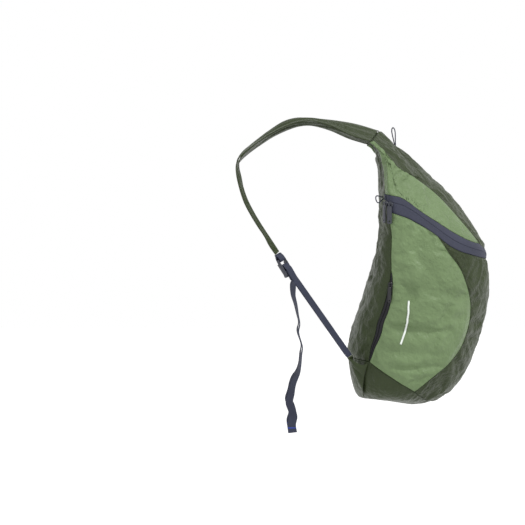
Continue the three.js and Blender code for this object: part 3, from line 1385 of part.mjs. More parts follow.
// Link and pull plate as one piece, hanging from the hinge axis at y = 0, z = HINGE_HEIGHT.
function pullerGeometry(length, width) {
  const inside = HINGE_BAR / 2 + HINGE_GAP;
  const top = inside + LINK_WIRE;
  const bottom = -LINK_LENGTH;
  const corners = LINK_OUTLINE.map((corner) => {
    const up = "top" in corner ? corner.top * top : corner.bottom * bottom;
    return new THREE.Vector2(corner.across * top, up);
  });
  const link = new THREE.Shape(corners);
  const eye = new THREE.Path();
  link.holes.push(rectanglePath(eye, -inside, bottom + LINK_WIRE, inside, inside));
  const loop = new THREE.ExtrudeGeometry(link, { depth: LINK_WIDTH, bevelEnabled: false });
  loop.rotateY(Math.PI / 2).translate(-LINK_WIDTH / 2, 0, HINGE_HEIGHT);
  const plateTop = bottom + LINK_WIRE;
  const outline = roundedShape(width, plateTop - length, plateTop, width * PULLER_ROUND);
  const hole = new THREE.Path();
  hole.absarc(0, plateTop - length + width / 2, width * PULLER_HOLE, 0, 2 * Math.PI, true);
  outline.holes.push(hole);
  const options = { depth: PULLER_THICKNESS, bevelEnabled: false, curveSegments: 3 };
  const plate = new THREE.ExtrudeGeometry(outline, options);
  plate.translate(0, 0, HINGE_HEIGHT - PULLER_THICKNESS / 2);
  return fromSolid(toSolid(loop).add(toSolid(plate)));
}

// A vertical hang: the puller's frame keeps the slider's level direction but hangs straight down.
function hangingFrame(frame) {
  const origin = frame.origin.clone().addScaledVector(frame.out, HINGE_HEIGHT);
  const upright = vector(0, 0, 1);
  const out = frame.level.clone().cross(upright);
  if (out.dot(frame.out) < 0) out.negate();
  origin.addScaledVector(out, -HINGE_HEIGHT);
  return { origin, level: frame.level, upright, out };
}

function bandPlace(share, backBy) {
  const [top, bottom] = [bandEnd[0], bandEnd[D.bandRows]];
  const end = { turn: mix(top.turn, bottom.turn, share), down: mix(top.down, bottom.down, share) };
  const turn = end.turn - turnFor(backBy, end);
  return { turn, down: mix(downAt(turn, upperLine), downAt(turn, lowerLine), share) };
}

// Each slider with its place, and its puller's size. Slope is the zip's there, in degrees.
function sliderRows() {
  const main = { kind: "main", look: LOOKS.plastic, length: PULLER_LENGTH, width: PULLER_WIDTH };
  const small = { length: POCKET_PULLER_LENGTH, width: POCKET_PULLER_WIDTH };
  const pocket = { kind: "pocket", look: LOOKS.glossy, ...small };
  return [
    { ...main, tag: "_a", place: bandPlace(SLIDER_SHARE, SLIDER_A_BACK), slope: SLIDER_A_SLOPE },
    { ...main, tag: "_b", place: bandPlace(SLIDER_SHARE, SLIDER_B_BACK), slope: SLIDER_B_SLOPE },
    { ...pocket, tag: "", place: pocketPlace(POCKET_SLIDER_SHARE), slope: POCKET_SLIDER_SLOPE },
  ];
}

function addSliders() {
  for (const { kind, tag, look, place, slope, length, width } of sliderRows()) {
    const frame = skinFrame(place, -1, SEAM_GAP);
    addPiece(`${kind}_slider${tag}`, inFrame(sliderGeometry(slope), frame), look);
    addPiece(`${kind}_puller${tag}`, inFrame(pullerGeometry(length, width), hangingFrame(frame)), look);
  }
}

// Pocket zip on the left side

function pocketRows() {
  const front = pocketFront();
  return lowerBack
    .map((back, r) => ({ back, front: front[r] }))
    .filter(({ back, front: f }) => {
      const gape = skin(back.turn, back.down).distanceTo(skin(f.turn, f.down));
      return gape > POCKET_ZIP_LEAST;
    });
}

function pocketPlace(share) {
  const rows = pocketRows();
  const spot = share * (rows.length - 1);
  const low = Math.floor(spot);
  const blend = spot - low;
  const middle = (row) => ({ turn: (row.back.turn + row.front.turn) / 2, down: row.back.down });
  const a = middle(rows[low]);
  const b = middle(rows[Math.min(low + 1, rows.length - 1)]);
  return { turn: mix(a.turn, b.turn, blend), down: mix(a.down, b.down, blend) };
}

function addPocketZip() {
  const rows = pocketRows();
  const at = (row, share) => ({ turn: -mix(row.back.turn, row.front.turn, share), down: row.back.down });
  const strip = (shares) => rows.map((row) => shares.map((share) => at(row, share)));
  addPiece("pocket_zip_tape_back", wallGeometry(strip([0, 0.5]), TAPE_THICKNESS), LOOKS.zipTape);
  addPiece("pocket_zip_tape_front", wallGeometry(strip([0.5, 1]), TAPE_THICKNESS), LOOKS.zipTape);
  const narrow = strip([0.36, 0.64]).slice(2, -2);
  addPiece("pocket_zip_coil", wallGeometry(narrow, COIL_THICKNESS, -TAPE_THICKNESS - SEAM_GAP), LOOKS.glossy);
}

// Cord loops

// The loop's course by hand, from one end to the other: up is a share of its length, across of its width.
const LOOP_COURSE = [
  { across: -0.14, up: 0 },
  { across: -0.16, up: 0.08 },
  { across: -0.2, up: 0.18 },
  { across: -0.28, up: 0.32 },
  { across: -0.38, up: 0.48 },
  { across: -0.47, up: 0.64 },
  { across: -0.5, up: 0.78 },
  { across: -0.38, up: 0.92 },
  { across: 0, up: 1 },
  { across: 0.38, up: 0.92 },
  { across: 0.5, up: 0.78 },
  { across: 0.47, up: 0.64 },
  { across: 0.38, up: 0.48 },
  { across: 0.28, up: 0.32 },
  { across: 0.2, up: 0.18 },
  { across: 0.16, up: 0.08 },
  { across: 0.14, up: 0 },
];

const HANG_LOOP_UP = [0, 0.12, 1];
const HANG_LOOP_ACROSS = [0.8, 0.6, 0];
const PULL_LOOP_UP = [-0.78, 0.6, -0.16];
const PULL_LOOP_ACROSS = [0.1, 0.2, 1];
const PULL_LOOP_SHARE = 0.3; // of the band's width, down from its upper edge

// Directions needn't be of unit length, and across needn't be quite square to up.
function cordLoop(base, upward, sideways, height, width) {
  const up = vector(...upward).normalize();
  const across = vector(...sideways);
  across.addScaledVector(up, -across.dot(up)).normalize();
  const points = LOOP_COURSE.map((row) =>
    base.clone().addScaledVector(up, row.up * height).addScaledVector(across, row.across * width),
  );
  const section = new THREE.Shape();
  section.absarc(0, 0, CORD_DIAMETER / 2, 0, 2 * Math.PI);
  return new THREE.ExtrudeGeometry(section, {
    steps: CORD_STEPS,
    curveSegments: 4,
    bevelEnabled: false,
    extrudePath: new THREE.CatmullRomCurve3(points, false, "centripetal"),
  });
}

function addLoops() {
  const lift = (NECK_ACROSS.z * NECK_THICKNESS) / 2 + SEAM_GAP + HANG_LOOP_LIFT;
  const neck = neckMiddle(0).add(vector(0, 0, lift));
  const hang = cordLoop(neck, HANG_LOOP_UP, HANG_LOOP_ACROSS, HANG_LOOP_HEIGHT, HANG_LOOP_WIDTH);
  addPiece("hang_loop", outward(hang), LOOKS.cord);
  const end = bandEnd[0];
  const down = mix(end.down, bandEnd[D.bandRows].down, PULL_LOOP_SHARE);
  const { origin } = skinFrame({ turn: end.turn, down }, -1, PULL_LOOP_LIFT);
  const pull = cordLoop(origin, PULL_LOOP_UP, PULL_LOOP_ACROSS, PULL_LOOP_LENGTH, PULL_LOOP_WIDTH);
  addPiece("pull_loop", outward(pull), LOOKS.cord);
}

addTopPanel();
addFrontPanel();
addSidePanels();
addBackPanel();
addBottomPanel();
addMainZip();
addZipEnds();
addStraps();
addBuckles();
addStrapWebbing();
addWebbing();
addWings();
addSliders();
addPocketZip();
addLoops();

export default backpack;
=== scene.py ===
"""Packable backpack in thin cloth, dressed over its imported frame."""

import math

import bmesh
import bpy
import numpy as np
from bpy.props import FloatProperty, FloatVectorProperty, IntProperty, PointerProperty
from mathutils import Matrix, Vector, noise


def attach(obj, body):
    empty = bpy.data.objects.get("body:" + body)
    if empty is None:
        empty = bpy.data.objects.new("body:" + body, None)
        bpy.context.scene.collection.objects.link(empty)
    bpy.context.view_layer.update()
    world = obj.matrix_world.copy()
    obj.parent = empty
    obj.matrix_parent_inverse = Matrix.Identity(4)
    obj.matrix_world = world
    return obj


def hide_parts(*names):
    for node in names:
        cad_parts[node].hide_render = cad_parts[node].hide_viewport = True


bl_info = {
    "name": "Packable backpack",
    "version": (1, 0, 0),
    "blender": (4, 5, 0),
    "location": "3D View > Sidebar > Backpack",
    "description": "Sews a thin packable backpack over its packed frame",
    "category": "Object",
}

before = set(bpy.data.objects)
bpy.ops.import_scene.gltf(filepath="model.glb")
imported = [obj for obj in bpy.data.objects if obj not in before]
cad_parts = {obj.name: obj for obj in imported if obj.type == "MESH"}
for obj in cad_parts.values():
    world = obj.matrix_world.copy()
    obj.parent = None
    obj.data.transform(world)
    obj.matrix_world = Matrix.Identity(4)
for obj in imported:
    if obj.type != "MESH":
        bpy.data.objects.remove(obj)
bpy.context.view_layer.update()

MM = 0.001
DEG = math.pi / 180

# Named sizes of the bag, in millimetres, and shares
BODY_HEIGHT = 466
BODY_WIDTH = 291
BODY_DEPTH = 178
SHOULDER_REACH = 126
SHOULDER_RISE = 15
SEAM_GAP = 0.5
NECK_THICKNESS = 5.4
FOLD_DEPTH = 7
CHEST_REACH = 124
STRAP_DROP = 230
STRAP_THICKNESS = 2.4
STRAP_PLEAT = 2.6
STRAP_PLEATS = 2.5
STRAP_PLEAT_END = 0.45
STRAP_ROOT = (0.34, 0.69)
WEBBING_WIDTH = 15
WEBBING_THICKNESS = 1.4
WEBBING_ROLL = 38
TAIL_DROP = 262
TAIL_SWAY = 16
BUCKLE_DISTANCE = 11
BUCKLE_LEAN = 30
BUCKLE_LENGTH = 33
BUCKLE_THICKNESS = 2.8
BUCKLE_BAR = 3
BUCKLE_LIP_LENGTH = 7
WEBBING_CLEARANCE = 0.5
WING_THICKNESS = 2.2
WING_PLEAT = 1.6
WING_PLEATS = 2
WING_TIP = (0.7733, -0.3217, 0.8221)
WING_CORNER_TURN = 138
WING_CORNER_DOWN = 0.815
WING_BULGE = 4
WING_HOLLOW = 0.22
BAND_SAG = 0.028
FRONT_BOTTOM_SAG = 0.012
POCKET_ZIP_WIDTH = 12.5
CORD_DIAMETER = 2
HANG_LOOP_HEIGHT = 31
HANG_LOOP_WIDTH = 9
HANG_LOOP_LIFT = 0.3
PULL_LOOP_LENGTH = 21
PULL_LOOP_WIDTH = 12
PULL_LOOP_LIFT = 3.4
NECK_BLUNTNESS = 0.12
WING_BASE_DROP = 0.004
WING_WAVE_START = 0.15
WING_WAVE_SPAN = 0.75
BAND_WIDTH = 23

# Directions across the neck's cloth and up out of it, as y and z
NECK_ACROSS = (-0.8, 0.6)
NECK_UP = (0.6, 0.8)

# How the two cord loops stand, and the pull loop's place across the end of the zip band
HANG_LOOP_UP = (0, 0.12, 1.0)
HANG_LOOP_ACROSS = (0.8, 0.6, 0.0)
PULL_LOOP_UP = (-0.78, 0.6, -0.16)
PULL_LOOP_ACROSS = (0.1, 0.2, 1.0)
PULL_LOOP_PLACE = 0.3

# Where the folds of the side take over from those of the front and back, and where folds end
FLANK_START = 0.35
FLANK_SPAN = 0.3
FOLDS_START = 0.06
FOLDS_END = 0.93
FOLDS_FADE = 0.1

# Seams, stitches and thicknesses of the sewn cloth, in millimetres
SEAM_DEPTH = 1.3
SEAM_CALM = 16.0
SEAM_HOLD = 7.0
HEM = 1.6
STITCH_ROW = 2
STITCH_LIFT = 0.35
STRAP_WALL = 1.7
WING_WALL = 1.6
TAPE_WALL = 0.8
STRIP_WALL = 0.4

# Wrinkles: heights and sizes in millimetres
SWELL_HEIGHT = 0.8
SWELL_SIZE = 15.0
CRUMPLES = ((26.0, 1.0), (12.0, 0.55), (6.0, 0.3))
PUCKER_LEAN = 0.5
PUCKER_DRAW = 0.22
PUCKER_START = 6
BOTTOM_PUCKER_HEIGHT = 2.2
BOTTOM_PUCKER_REACH = 30

# Rows of the bottom panel, as shares from its rim to its middle
BOTTOM_HEM = 0.008
BOTTOM_START = 0.02
BOTTOM_ROWS = 52
BOTTOM_MIDDLE = 0.9985
BOTTOM_LOWEST = -0.4765

# Cells along and across the longer pieces, and the width and length of their cloth
ZIP_CELLS = 220
STRAP_CELLS = (190, 26)
STRAP_WIDTH = 46
WING_CELLS = 30
WING_WIDTH = 40
WING_LENGTH = 60

SIDES = (("l", -1), ("r", 1))

# How the thin nylon behaves while it settles
CLOTH_SETTINGS = {
    "quality": 6,
    "mass": 0.08,
    "tension_stiffness": 18,
    "compression_stiffness": 18,
    "shear_stiffness": 8,
    "bending_stiffness": 0.04,
    "tension_damping": 12,
    "compression_damping": 12,
    "air_damping": 4,
    "vertex_group_mass": "Pins",
    "use_pressure": True,
}

# Sections from the neck to the bottom, with a name for each column. The out columns are shares of
# BODY_DEPTH and the down columns of BODY_HEIGHT.
SECTION_COLUMNS = "back_out back_down front_out front_down width widest flank nose corner".split()
SECTIONS = np.array(
    [
        (-0.1, 0.05, 0.12, 0.058, 0.7, 0.3, 1.3, 2, 5),
        (-0.067, 0.074, 0.276, 0.107, 0.75, 0.2, 1.2, 1.7, 6),
        (-0.029, 0.107, 0.467, 0.176, 0.82, 0.17, 1.15, 1.7, 6),
        (-0.005, 0.151, 0.657, 0.249, 0.889, 0.15, 1.25, 1.8, 6),
        (0, 0.198, 0.829, 0.34, 0.936, 0.17, 1.8, 2.5, 6),
        (0, 0.242, 0.985, 0.435, 0.959, 0.22, 2.4, 3, 6),
        (-0.01, 0.297, 0.99, 0.479, 0.982, 0.3, 2.4, 2.9, 6),
        (-0.01, 0.38, 0.995, 0.544, 0.994, 0.38, 2.2, 2.5, 5.5),
        (-0.086, 0.515, 0.985, 0.617, 1, 0.45, 2.1, 2.1, 4.5),
        (-0.19, 0.647, 0.943, 0.698, 0.982, 0.48, 2, 2, 3.4),
        (-0.295, 0.756, 0.867, 0.789, 0.936, 0.48, 2, 2, 3),
        (-0.314, 0.843, 0.771, 0.88, 0.877, 0.48, 2.1, 2.1, 3),
        (-0.276, 0.927, 0.638, 0.945, 0.772, 0.48, 2.1, 2.2, 3),
        (-0.229, 0.968, 0.514, 0.98, 0.632, 0.48, 2.1, 2.2, 2.6),
        (-0.15, 0.977, 0.429, 0.992, 0.468, 0.5, 2, 2, 2.2),
        (0, 0.982, 0.3, 0.998, 0.234, 0.5, 2, 2, 2),
        (0.15, 0.993, 0.15, 0.993, 0, 0.5, 2, 2, 2),
    ]
)

# The neck seam: across as a share of half of BODY_WIDTH, out and down.
NECK = np.array(
    [(0, 0.124, 0.056), (0.2, 0.075, 0.043), (0.34, -0.03, 0.004), (0.52, -0.08, 0.022), (0.7, -0.12, 0.045)]
)

# Seams of one side, as out and down seen from the side.
SEAMS = {
    "upper_front": [(0.11, 0.126), (0.302, 0.173), (0.514, 0.235), (0.728, 0.324), (0.908, 0.41)],
    "upper_back": [(-0.026, 0.112), (-0.004, 0.153), (0.002, 0.2), (0.012, 0.234)],
    "band_upper": [
        (0.012, 0.234), (0.196, 0.254), (0.343, 0.295), (0.493, 0.332), (0.642, 0.368), (0.79, 0.397),
        (0.908, 0.41),
    ],
    "band_lower": [
        (0.04, 0.297), (0.238, 0.324), (0.388, 0.356), (0.495, 0.384), (0.6, 0.416), (0.705, 0.438),
        (0.833, 0.453), (0.94, 0.463),
    ],
    "lower_front": [
        (0.505, 0.386), (0.619, 0.45), (0.728, 0.507), (0.8, 0.58), (0.828, 0.645), (0.812, 0.71),
        (0.749, 0.783), (0.642, 0.84), (0.493, 0.889), (0.291, 0.95),
    ],
    "lower_back": [
        (0.04, 0.297), (0.062, 0.36), (0.062, 0.45), (0.062, 0.512), (0.033, 0.581), (-0.01, 0.643),
        (-0.061, 0.694), (-0.09, 0.745), (-0.127, 0.791), (-0.14, 0.84),
    ],
    "lower_bottom": [(-0.14, 0.84), (-0.03, 0.872), (0.067, 0.897), (0.18, 0.925), (0.291, 0.95)],
    "bottom_front": [(0.291, 0.95), (0.36, 0.97), (0.42, 0.984)],
}

# Creases: from and to, width as a share of BODY_WIDTH, and depth as a share of FOLD_DEPTH. Side folds
# are out and down, front and back folds are across and down.
SIDE_FOLDS = [
    (0.02, 0.12, 0.14, 0.24, 0.03, 0.7),
    (0.1, 0.15, 0.3, 0.27, 0.03, 0.8),
    (0.24, 0.18, 0.48, 0.31, 0.03, 0.7),
    (0.42, 0.22, 0.68, 0.36, 0.028, 0.6),
    (0.08, 0.53, 0.26, 0.6, 0.04, 0.9),
    (0.26, 0.6, 0.08, 0.635, 0.035, 0.6),
    (0.28, 0.44, 0.48, 0.57, 0.06, 1),
    (0.16, 0.43, 0.3, 0.52, 0.05, -0.5),
    (0.02, 0.72, 0.62, 0.73, 0.04, 0.8),
    (0, 0.8, 0.66, 0.815, 0.04, 0.7),
    (0.06, 0.86, 0.52, 0.865, 0.03, 0.6),
    (0.62, 0.6, 0.8, 0.63, 0.04, 0.6),
    (0.6, 0.67, 0.79, 0.69, 0.035, 0.6),
]
FRONT_FOLDS = [
    (-0.5, 0.3, -0.2, 0.36, 0.05, 0.6),
    (0.5, 0.29, 0.2, 0.37, 0.05, 0.7),
    (-0.45, 0.21, -0.25, 0.28, 0.04, 0.5),
    (0.42, 0.2, 0.2, 0.29, 0.04, 0.5),
    (-0.72, 0.66, -0.42, 0.7, 0.045, 0.9),
    (0.72, 0.62, 0.36, 0.65, 0.045, 0.9),
    (-0.68, 0.73, -0.36, 0.76, 0.04, 0.7),
    (0.7, 0.71, 0.3, 0.72, 0.04, 0.8),
    (-0.66, 0.56, -0.4, 0.62, 0.05, 0.8),
    (0.62, 0.54, 0.34, 0.57, 0.04, 0.7),
]
BACK_FOLDS = [
    (-0.9, 0.5, -0.4, 0.54, 0.05, 0.8),
    (0.9, 0.5, 0.4, 0.54, 0.05, 0.8),
    (-0.9, 0.64, -0.3, 0.62, 0.05, 0.8),
    (0.9, 0.64, 0.3, 0.62, 0.05, 0.8),
    (-0.5, 0.3, 0.5, 0.32, 0.06, 0.7),
    (-0.4, 0.42, 0.5, 0.4, 0.05, 0.6),
    (-0.7, 0.75, 0.1, 0.72, 0.06, 0.8),
    (0.75, 0.78, 0, 0.8, 0.05, 0.6),
]

# The strap's inner and outer edges: fore, drop and across of each.
STRAP = np.array(
    [
        (-0.649, 0.019, 0.386, -0.568, 0.104, 0.725),
        (-0.405, -0.004, 0.468, -0.324, 0.044, 0.795),
        (-0.203, -0.016, 0.515, -0.162, 0.015, 0.842),
        (0, -0.024, 0.55, -0.014, 0, 0.877),
        (0.17, -0.026, 0.573, 0.151, 0.01, 0.9),
        (0.342, -0.001, 0.608, 0.329, 0.044, 0.924),
        (0.534, 0.064, 0.655, 0.501, 0.089, 0.947),
        (0.671, 0.119, 0.69, 0.637, 0.136, 0.959),
        (0.808, 0.178, 0.725, 0.795, 0.196, 0.965),
        (0.911, 0.227, 0.749, 0.918, 0.252, 0.959),
        (0.964, 0.272, 0.76, 0.97, 0.285, 0.959),
        (0.966, 0.326, 0.766, 0.995, 0.333, 0.947),
        (0.937, 0.393, 0.772, 0.99, 0.393, 0.936),
        (0.904, 0.481, 0.778, 0.959, 0.474, 0.93),
        (0.842, 0.578, 0.784, 0.897, 0.581, 0.924),
        (0.747, 0.678, 0.789, 0.801, 0.681, 0.924),
        (0.644, 0.77, 0.795, 0.699, 0.77, 0.924),
        (0.562, 0.837, 0.801, 0.61, 0.841, 0.918),
        (0.493, 0.893, 0.807, 0.544, 0.91, 0.912),
        (0.414, 0.958, 0.813, 0.456, 0.98, 0.906),
    ]
)

# The loose webbing: down, sway and turn in degrees.
TAIL = np.array(
    [
        (0.05, 0.05, 30), (0.117, 0.08, 22), (0.176, 0.33, 14), (0.241, 0.54, 6), (0.3, 0.72, 2),
        (0.355, 0.58, 6), (0.449, 1, 2), (0.501, 0.89, 6), (0.566, 0.79, 8), (0.618, 0.58, 18),
        (0.661, 0.21, 32), (0.697, 0, 36), (0.749, -0.16, 42), (0.807, -0.37, 54), (0.859, -0.08, 56),
        (0.898, 0.05, 64), (0.947, -0.13, 76), (1, -0.02, 84),
    ]
)

# Course of a cord loop: across as a share of its width and up of its length.
LOOP_COURSE = [
    (-0.14, 0), (-0.16, 0.08), (-0.2, 0.18), (-0.28, 0.32), (-0.38, 0.48), (-0.47, 0.64), (-0.5, 0.78),
    (-0.38, 0.92), (0, 1), (0.38, 0.92), (0.5, 0.78), (0.47, 0.64), (0.38, 0.48), (0.28, 0.32),
    (0.2, 0.18), (0.16, 0.08), (0.14, 0),
]


# Curves


def smooth_curve(knots, values):
    """A smooth function through values at increasing knots."""
    count = len(values)
    before = np.maximum(np.arange(count) - 1, 0)
    after = np.minimum(np.arange(count) + 1, count - 1)
    slopes = (values[after] - values[before]) / (knots[after] - knots[before])

    def curve(place):
        place = np.asarray(place, dtype=float)
        i = np.clip(np.searchsorted(knots, place, side="left") - 1, 0, count - 2)
        span = knots[i + 1] - knots[i]
        s = np.clip((place - knots[i]) / span, 0, 1)
        lift = s * s * (3 - 2 * s)
        pulls = span * (slopes[i] * s * (1 - s) ** 2 - slopes[i + 1] * s * s * (1 - s))
        return values[i] + (values[i + 1] - values[i]) * lift + pulls

    return curve


class Thread:
    """A centripetal Catmull-Rom curve through points of any dimension."""

    def __init__(self, points):
        points = np.asarray(points, dtype=float)
        ends = (2 * points[0] - points[1], 2 * points[-1] - points[-2])
        self.points = np.vstack([ends[0], points, ends[1]])
        self.segments = len(points) - 1

    def at(self, share):
        place = np.clip(np.asarray(share, dtype=float), 0, 1) * self.segments
        i = np.minimum(place.astype(int), self.segments - 1)
        w = (place - i)[:, None]
        p = [self.points[i + k] for k in range(4)]
        steps = [np.linalg.norm(b - a, axis=1) ** 0.5 for a, b in zip(p, p[1:])]
        middle = np.where(steps[1] < 1e-4, 1.0, steps[1])
        first = np.where(steps[0] < 1e-4, middle, steps[0])[:, None]
        last = np.where(steps[2] < 1e-4, middle, steps[2])[:, None]
        middle = middle[:, None]
        pull_a = (p[1] - p[0]) / first - (p[2] - p[0]) / (first + middle) + (p[2] - p[1]) / middle
        pull_b = (p[2] - p[1]) / middle - (p[3] - p[1]) / (middle + last) + (p[3] - p[2]) / last
        pull_a, pull_b = pull_a * middle, pull_b * middle
        c2 = -3 * p[1] + 3 * p[2] - 2 * pull_a - pull_b
        c3 = 2 * p[1] - 2 * p[2] + pull_a + pull_b
        return p[1] + pull_a * w + c2 * w * w + c3 * w**3

    def spaced(self, count):
        return resample(self.at(np.linspace(0, 1, 40 * self.segments + 1)), count)


def run_lengths(points):
    """How far along a line of points each of them lies."""
    return np.concatenate([[0], np.cumsum(np.linalg.norm(np.diff(points, axis=0), axis=1))])


def resample(points, count):
    """Points at even distances along a fine line of points, count + 1 of them."""
    lengths = run_lengths(points)
    wanted = np.linspace(0, lengths[-1], count + 1)
    return np.stack([np.interp(wanted, lengths, points[:, k]) for k in range(points.shape[1])], axis=1)


def ease(share):
    s = np.clip(share, 0, 1)
    return s * s * (3 - 2 * s)


def unit(vectors):
    length = np.linalg.norm(vectors, axis=-1, keepdims=True)
    return vectors / np.maximum(length, 1e-12)


# The body's skin, in millimetres


def side_place(out, down):
    return -(SHOULDER_REACH + out * BODY_DEPTH), -(SHOULDER_RISE + down * BODY_HEIGHT)


def section_knots():
    column = dict(zip(SECTION_COLUMNS, SECTIONS.T))
    front = np.stack(side_place(column["front_out"], column["front_down"]), axis=1)
    back = np.stack(side_place(column["back_out"], column["back_down"]), axis=1)
    steps = np.linalg.norm(np.diff(front, axis=0), axis=1)
    steps = steps + np.linalg.norm(np.diff(back, axis=0), axis=1)
    steps = steps + np.abs(np.diff(column["width"])) * BODY_WIDTH / 2
    knots = np.concatenate([[0], np.cumsum(steps / 3)])
    return knots / knots[-1]


KNOTS = section_knots()
NECK_BLEND = KNOTS[2]
SECTION_CURVES = {name: smooth_curve(KNOTS, values) for name, values in zip(SECTION_COLUMNS, SECTIONS.T)}
NECK_OUT = smooth_curve(NECK[:, 0], NECK[:, 1])
NECK_DOWN = smooth_curve(NECK[:, 0], NECK[:, 2])


def section_at(down):
    c = {name: curve(down) for name, curve in SECTION_CURVES.items()}
    back = np.stack(side_place(c["back_out"], c["back_down"]), axis=-1)
    front = np.stack(side_place(c["front_out"], c["front_down"]), axis=-1)
    c.update(back=back, middle=(back + front) / 2, half=(front - back) / 2)
    c.update(half_width=c["width"] * BODY_WIDTH / 2, centre=2 * c["widest"] - 1)
    return c


def round_place(c, turn):
    """Shares of the half depth and half width at a turn round the section."""
    along = np.abs(np.cos(turn))
    across = np.sin(turn)
    forward = c["centre"] + (1 - c["centre"]) * along ** (2 / c["flank"])
    side = np.sign(across) * np.abs(across) ** (2 / c["nose"])
    reach = (along ** c["corner"] + np.abs(across) ** c["corner"]) ** (-1 / c["corner"])
    backward = c["centre"] - (1 + c["centre"]) * along * reach
    is_front = np.cos(turn) > 0
    return np.where(is_front, forward, backward), np.where(is_front, side, across * reach)


def neck_point(turn):
    last = NECK[-1, 0]
    across = np.sin(turn)
    share = np.abs(across) * last
    y, z = side_place(NECK_OUT(share), NECK_DOWN(share))
    spread = np.tanh(np.cos(turn) / NECK_BLUNTNESS) * NECK_THICKNESS / 2
    x = across * last * BODY_WIDTH / 2
    return np.stack([x, y + NECK_ACROSS[0] * spread, z + NECK_ACROSS[1] * spread], axis=-1)


def smooth_skin(turn, down):
    turn, down = np.broadcast_arrays(np.asarray(turn, float), np.asarray(down, float))
    c = section_at(down)
    along, across = round_place(c, turn)
    place = c["middle"] + c["half"] * along[..., None]
    point = np.concatenate([(across * c["half_width"])[..., None], place], axis=-1)
    share = (1 - ease(down / NECK_BLEND))[..., None]
    return point * (1 - share) + neck_point(turn) * share


def skin_normal(turn, down):
    step = 0.004
    low, high = np.maximum(down - step, 0), np.minimum(down + step, 0.995)
    place = np.minimum(down, 0.995)
    around = smooth_skin(turn + step, place) - smooth_skin(turn - step, place)
    along = smooth_skin(turn, high) - smooth_skin(turn, low)
    return unit(np.cross(along, around))


def crease_depth(x, y, fold_ends, width, depth):
    x1, y1, x2, y2 = fold_ends
    dx, dy = x2 - x1, y2 - y1
    share = np.clip(((x - x1) * dx + (y - y1) * dy) / (dx * dx + dy * dy), 0, 1)
    distance = np.hypot(x - x1 - share * dx, y - y1 - share * dy)
    return FOLD_DEPTH * depth * np.exp(-((distance / (width * BODY_WIDTH)) ** 2))


def fold_depth(point, turn, down):
    side_share = ease((np.abs(np.sin(turn)) - FLANK_START) / FLANK_SPAN)
    fade = ease(down / FOLDS_START) * ease((FOLDS_END - down) / FOLDS_FADE)
    depth = np.zeros(np.shape(turn))
    for out, drop, to_out, to_drop, width, share in SIDE_FOLDS:
        ends = (*side_place(out, drop), *side_place(to_out, to_drop))
        depth = depth + side_share * crease_depth(point[..., 1], point[..., 2], ends, width, share)
    half = BODY_WIDTH / 2
    for folds, shown in ((FRONT_FOLDS, np.cos(turn) >= 0), (BACK_FOLDS, np.cos(turn) < 0)):
        for across, drop, to_across, to_drop, width, share in folds:
            ends = (across * half, side_place(0, drop)[1], to_across * half, side_place(0, to_drop)[1])
            crease = crease_depth(point[..., 0], point[..., 2], ends, width, share)
            depth = depth + shown * (1 - side_share) * crease
    return depth * fade


def skin(turn, down):
    point = smooth_skin(turn, down)
    return point - skin_normal(turn, down) * fold_depth(point, turn, down)[..., None]


def skin_place(out, down):
    """Turn and place down the body of the skin point seen at a place from the side."""
    target = np.array(side_place(out, down))
    low, high = 0.0, 0.99
    for _ in range(40):
        middle = (low + high) / 2
        c = section_at(middle)
        offset = target - c["back"]
        if c["half"][0] * offset[1] - c["half"][1] * offset[0] > 0:
            low = middle
        else:
            high = middle
    c = section_at(low)
    along = np.dot(target - c["middle"], c["half"]) / np.dot(c["half"], c["half"])
    share = float(np.clip(along, -0.985, 0.985))
    centre, flank, corner = (float(c[k]) for k in ("centre", "flank", "corner"))
    if share > centre:
        return math.acos(((share - centre) / (1 - centre)) ** (flank / 2)), low
    back = (centre - share) / (1 + centre)
    return math.atan2((1 - back**corner) ** (1 / corner), -back), low


# Seams as lines of places, each place a turn and a place down

FINE = 240
STRETCH = np.array([1, 3])


def seam_line(places, count=FINE):
    return Thread(np.asarray(places) * STRETCH).spaced(count) / STRETCH


def seam(name, first=(), count=FINE):
    return seam_line([*first, *(skin_place(*row) for row in SEAMS[name])], count)


def across_front(edge, middle_down, count=FINE):
    share = np.linspace(0, 1, count + 1)
    return np.stack([edge[0] * share, middle_down + (edge[1] - middle_down) * share**2], axis=1)


ARMPIT_FRONT = 72 * DEG
ARMPIT_BACK = 106 * DEG
FRONT_BAND = skin_place(0.985, 0.4335)[1]
UPPER_BACK = seam("upper_back", [(ARMPIT_BACK, 0)])
UPPER_FRONT = seam("upper_front", [(ARMPIT_FRONT, 0)])
LOWER_FRONT = seam("lower_front")
LOWER_BACK = seam("lower_back")
BOTTOM_FRONT = seam("bottom_front")
LOWER_BOTTOM = seam("lower_bottom")
UPPER_LINE = np.vstack([across_front(UPPER_FRONT[-1], FRONT_BAND), seam("band_upper")[::-1][1:]])


def lower_line():
    places = [skin_place(*row) for row in SEAMS["band_lower"]][::-1]
    middle = (0, FRONT_BAND + BAND_SAG)
    beside = (places[0][0] / 2, middle[1] + (places[0][1] - middle[1]) * 0.4)
    return seam_line([middle, beside, *places], 2 * FINE)


LOWER_LINE = lower_line()
LOWER_FRONT[0, 1] = np.interp(LOWER_FRONT[0, 0], LOWER_LINE[:, 0], LOWER_LINE[:, 1])
LOWER_BACK[0] = LOWER_LINE[-1]


def part_of(line, start, end):
    """The stretch of a line between two turns, its ends exact."""
    inside = line[(line[:, 0] > start) & (line[:, 0] < end)]
    ends = [(turn, np.interp(turn, line[:, 0], line[:, 1])) for turn in (start, end)]
    return np.vstack([ends[0], inside, ends[1]])


def mirrored(line):
    return line * np.array([-1, 1])


def both_sides(half):
    return np.vstack([mirrored(half)[::-1], half[1:]])


def level(start, end, down):
    return np.stack([np.linspace(start, end, FINE + 1), np.full(FINE + 1, down)], axis=1)


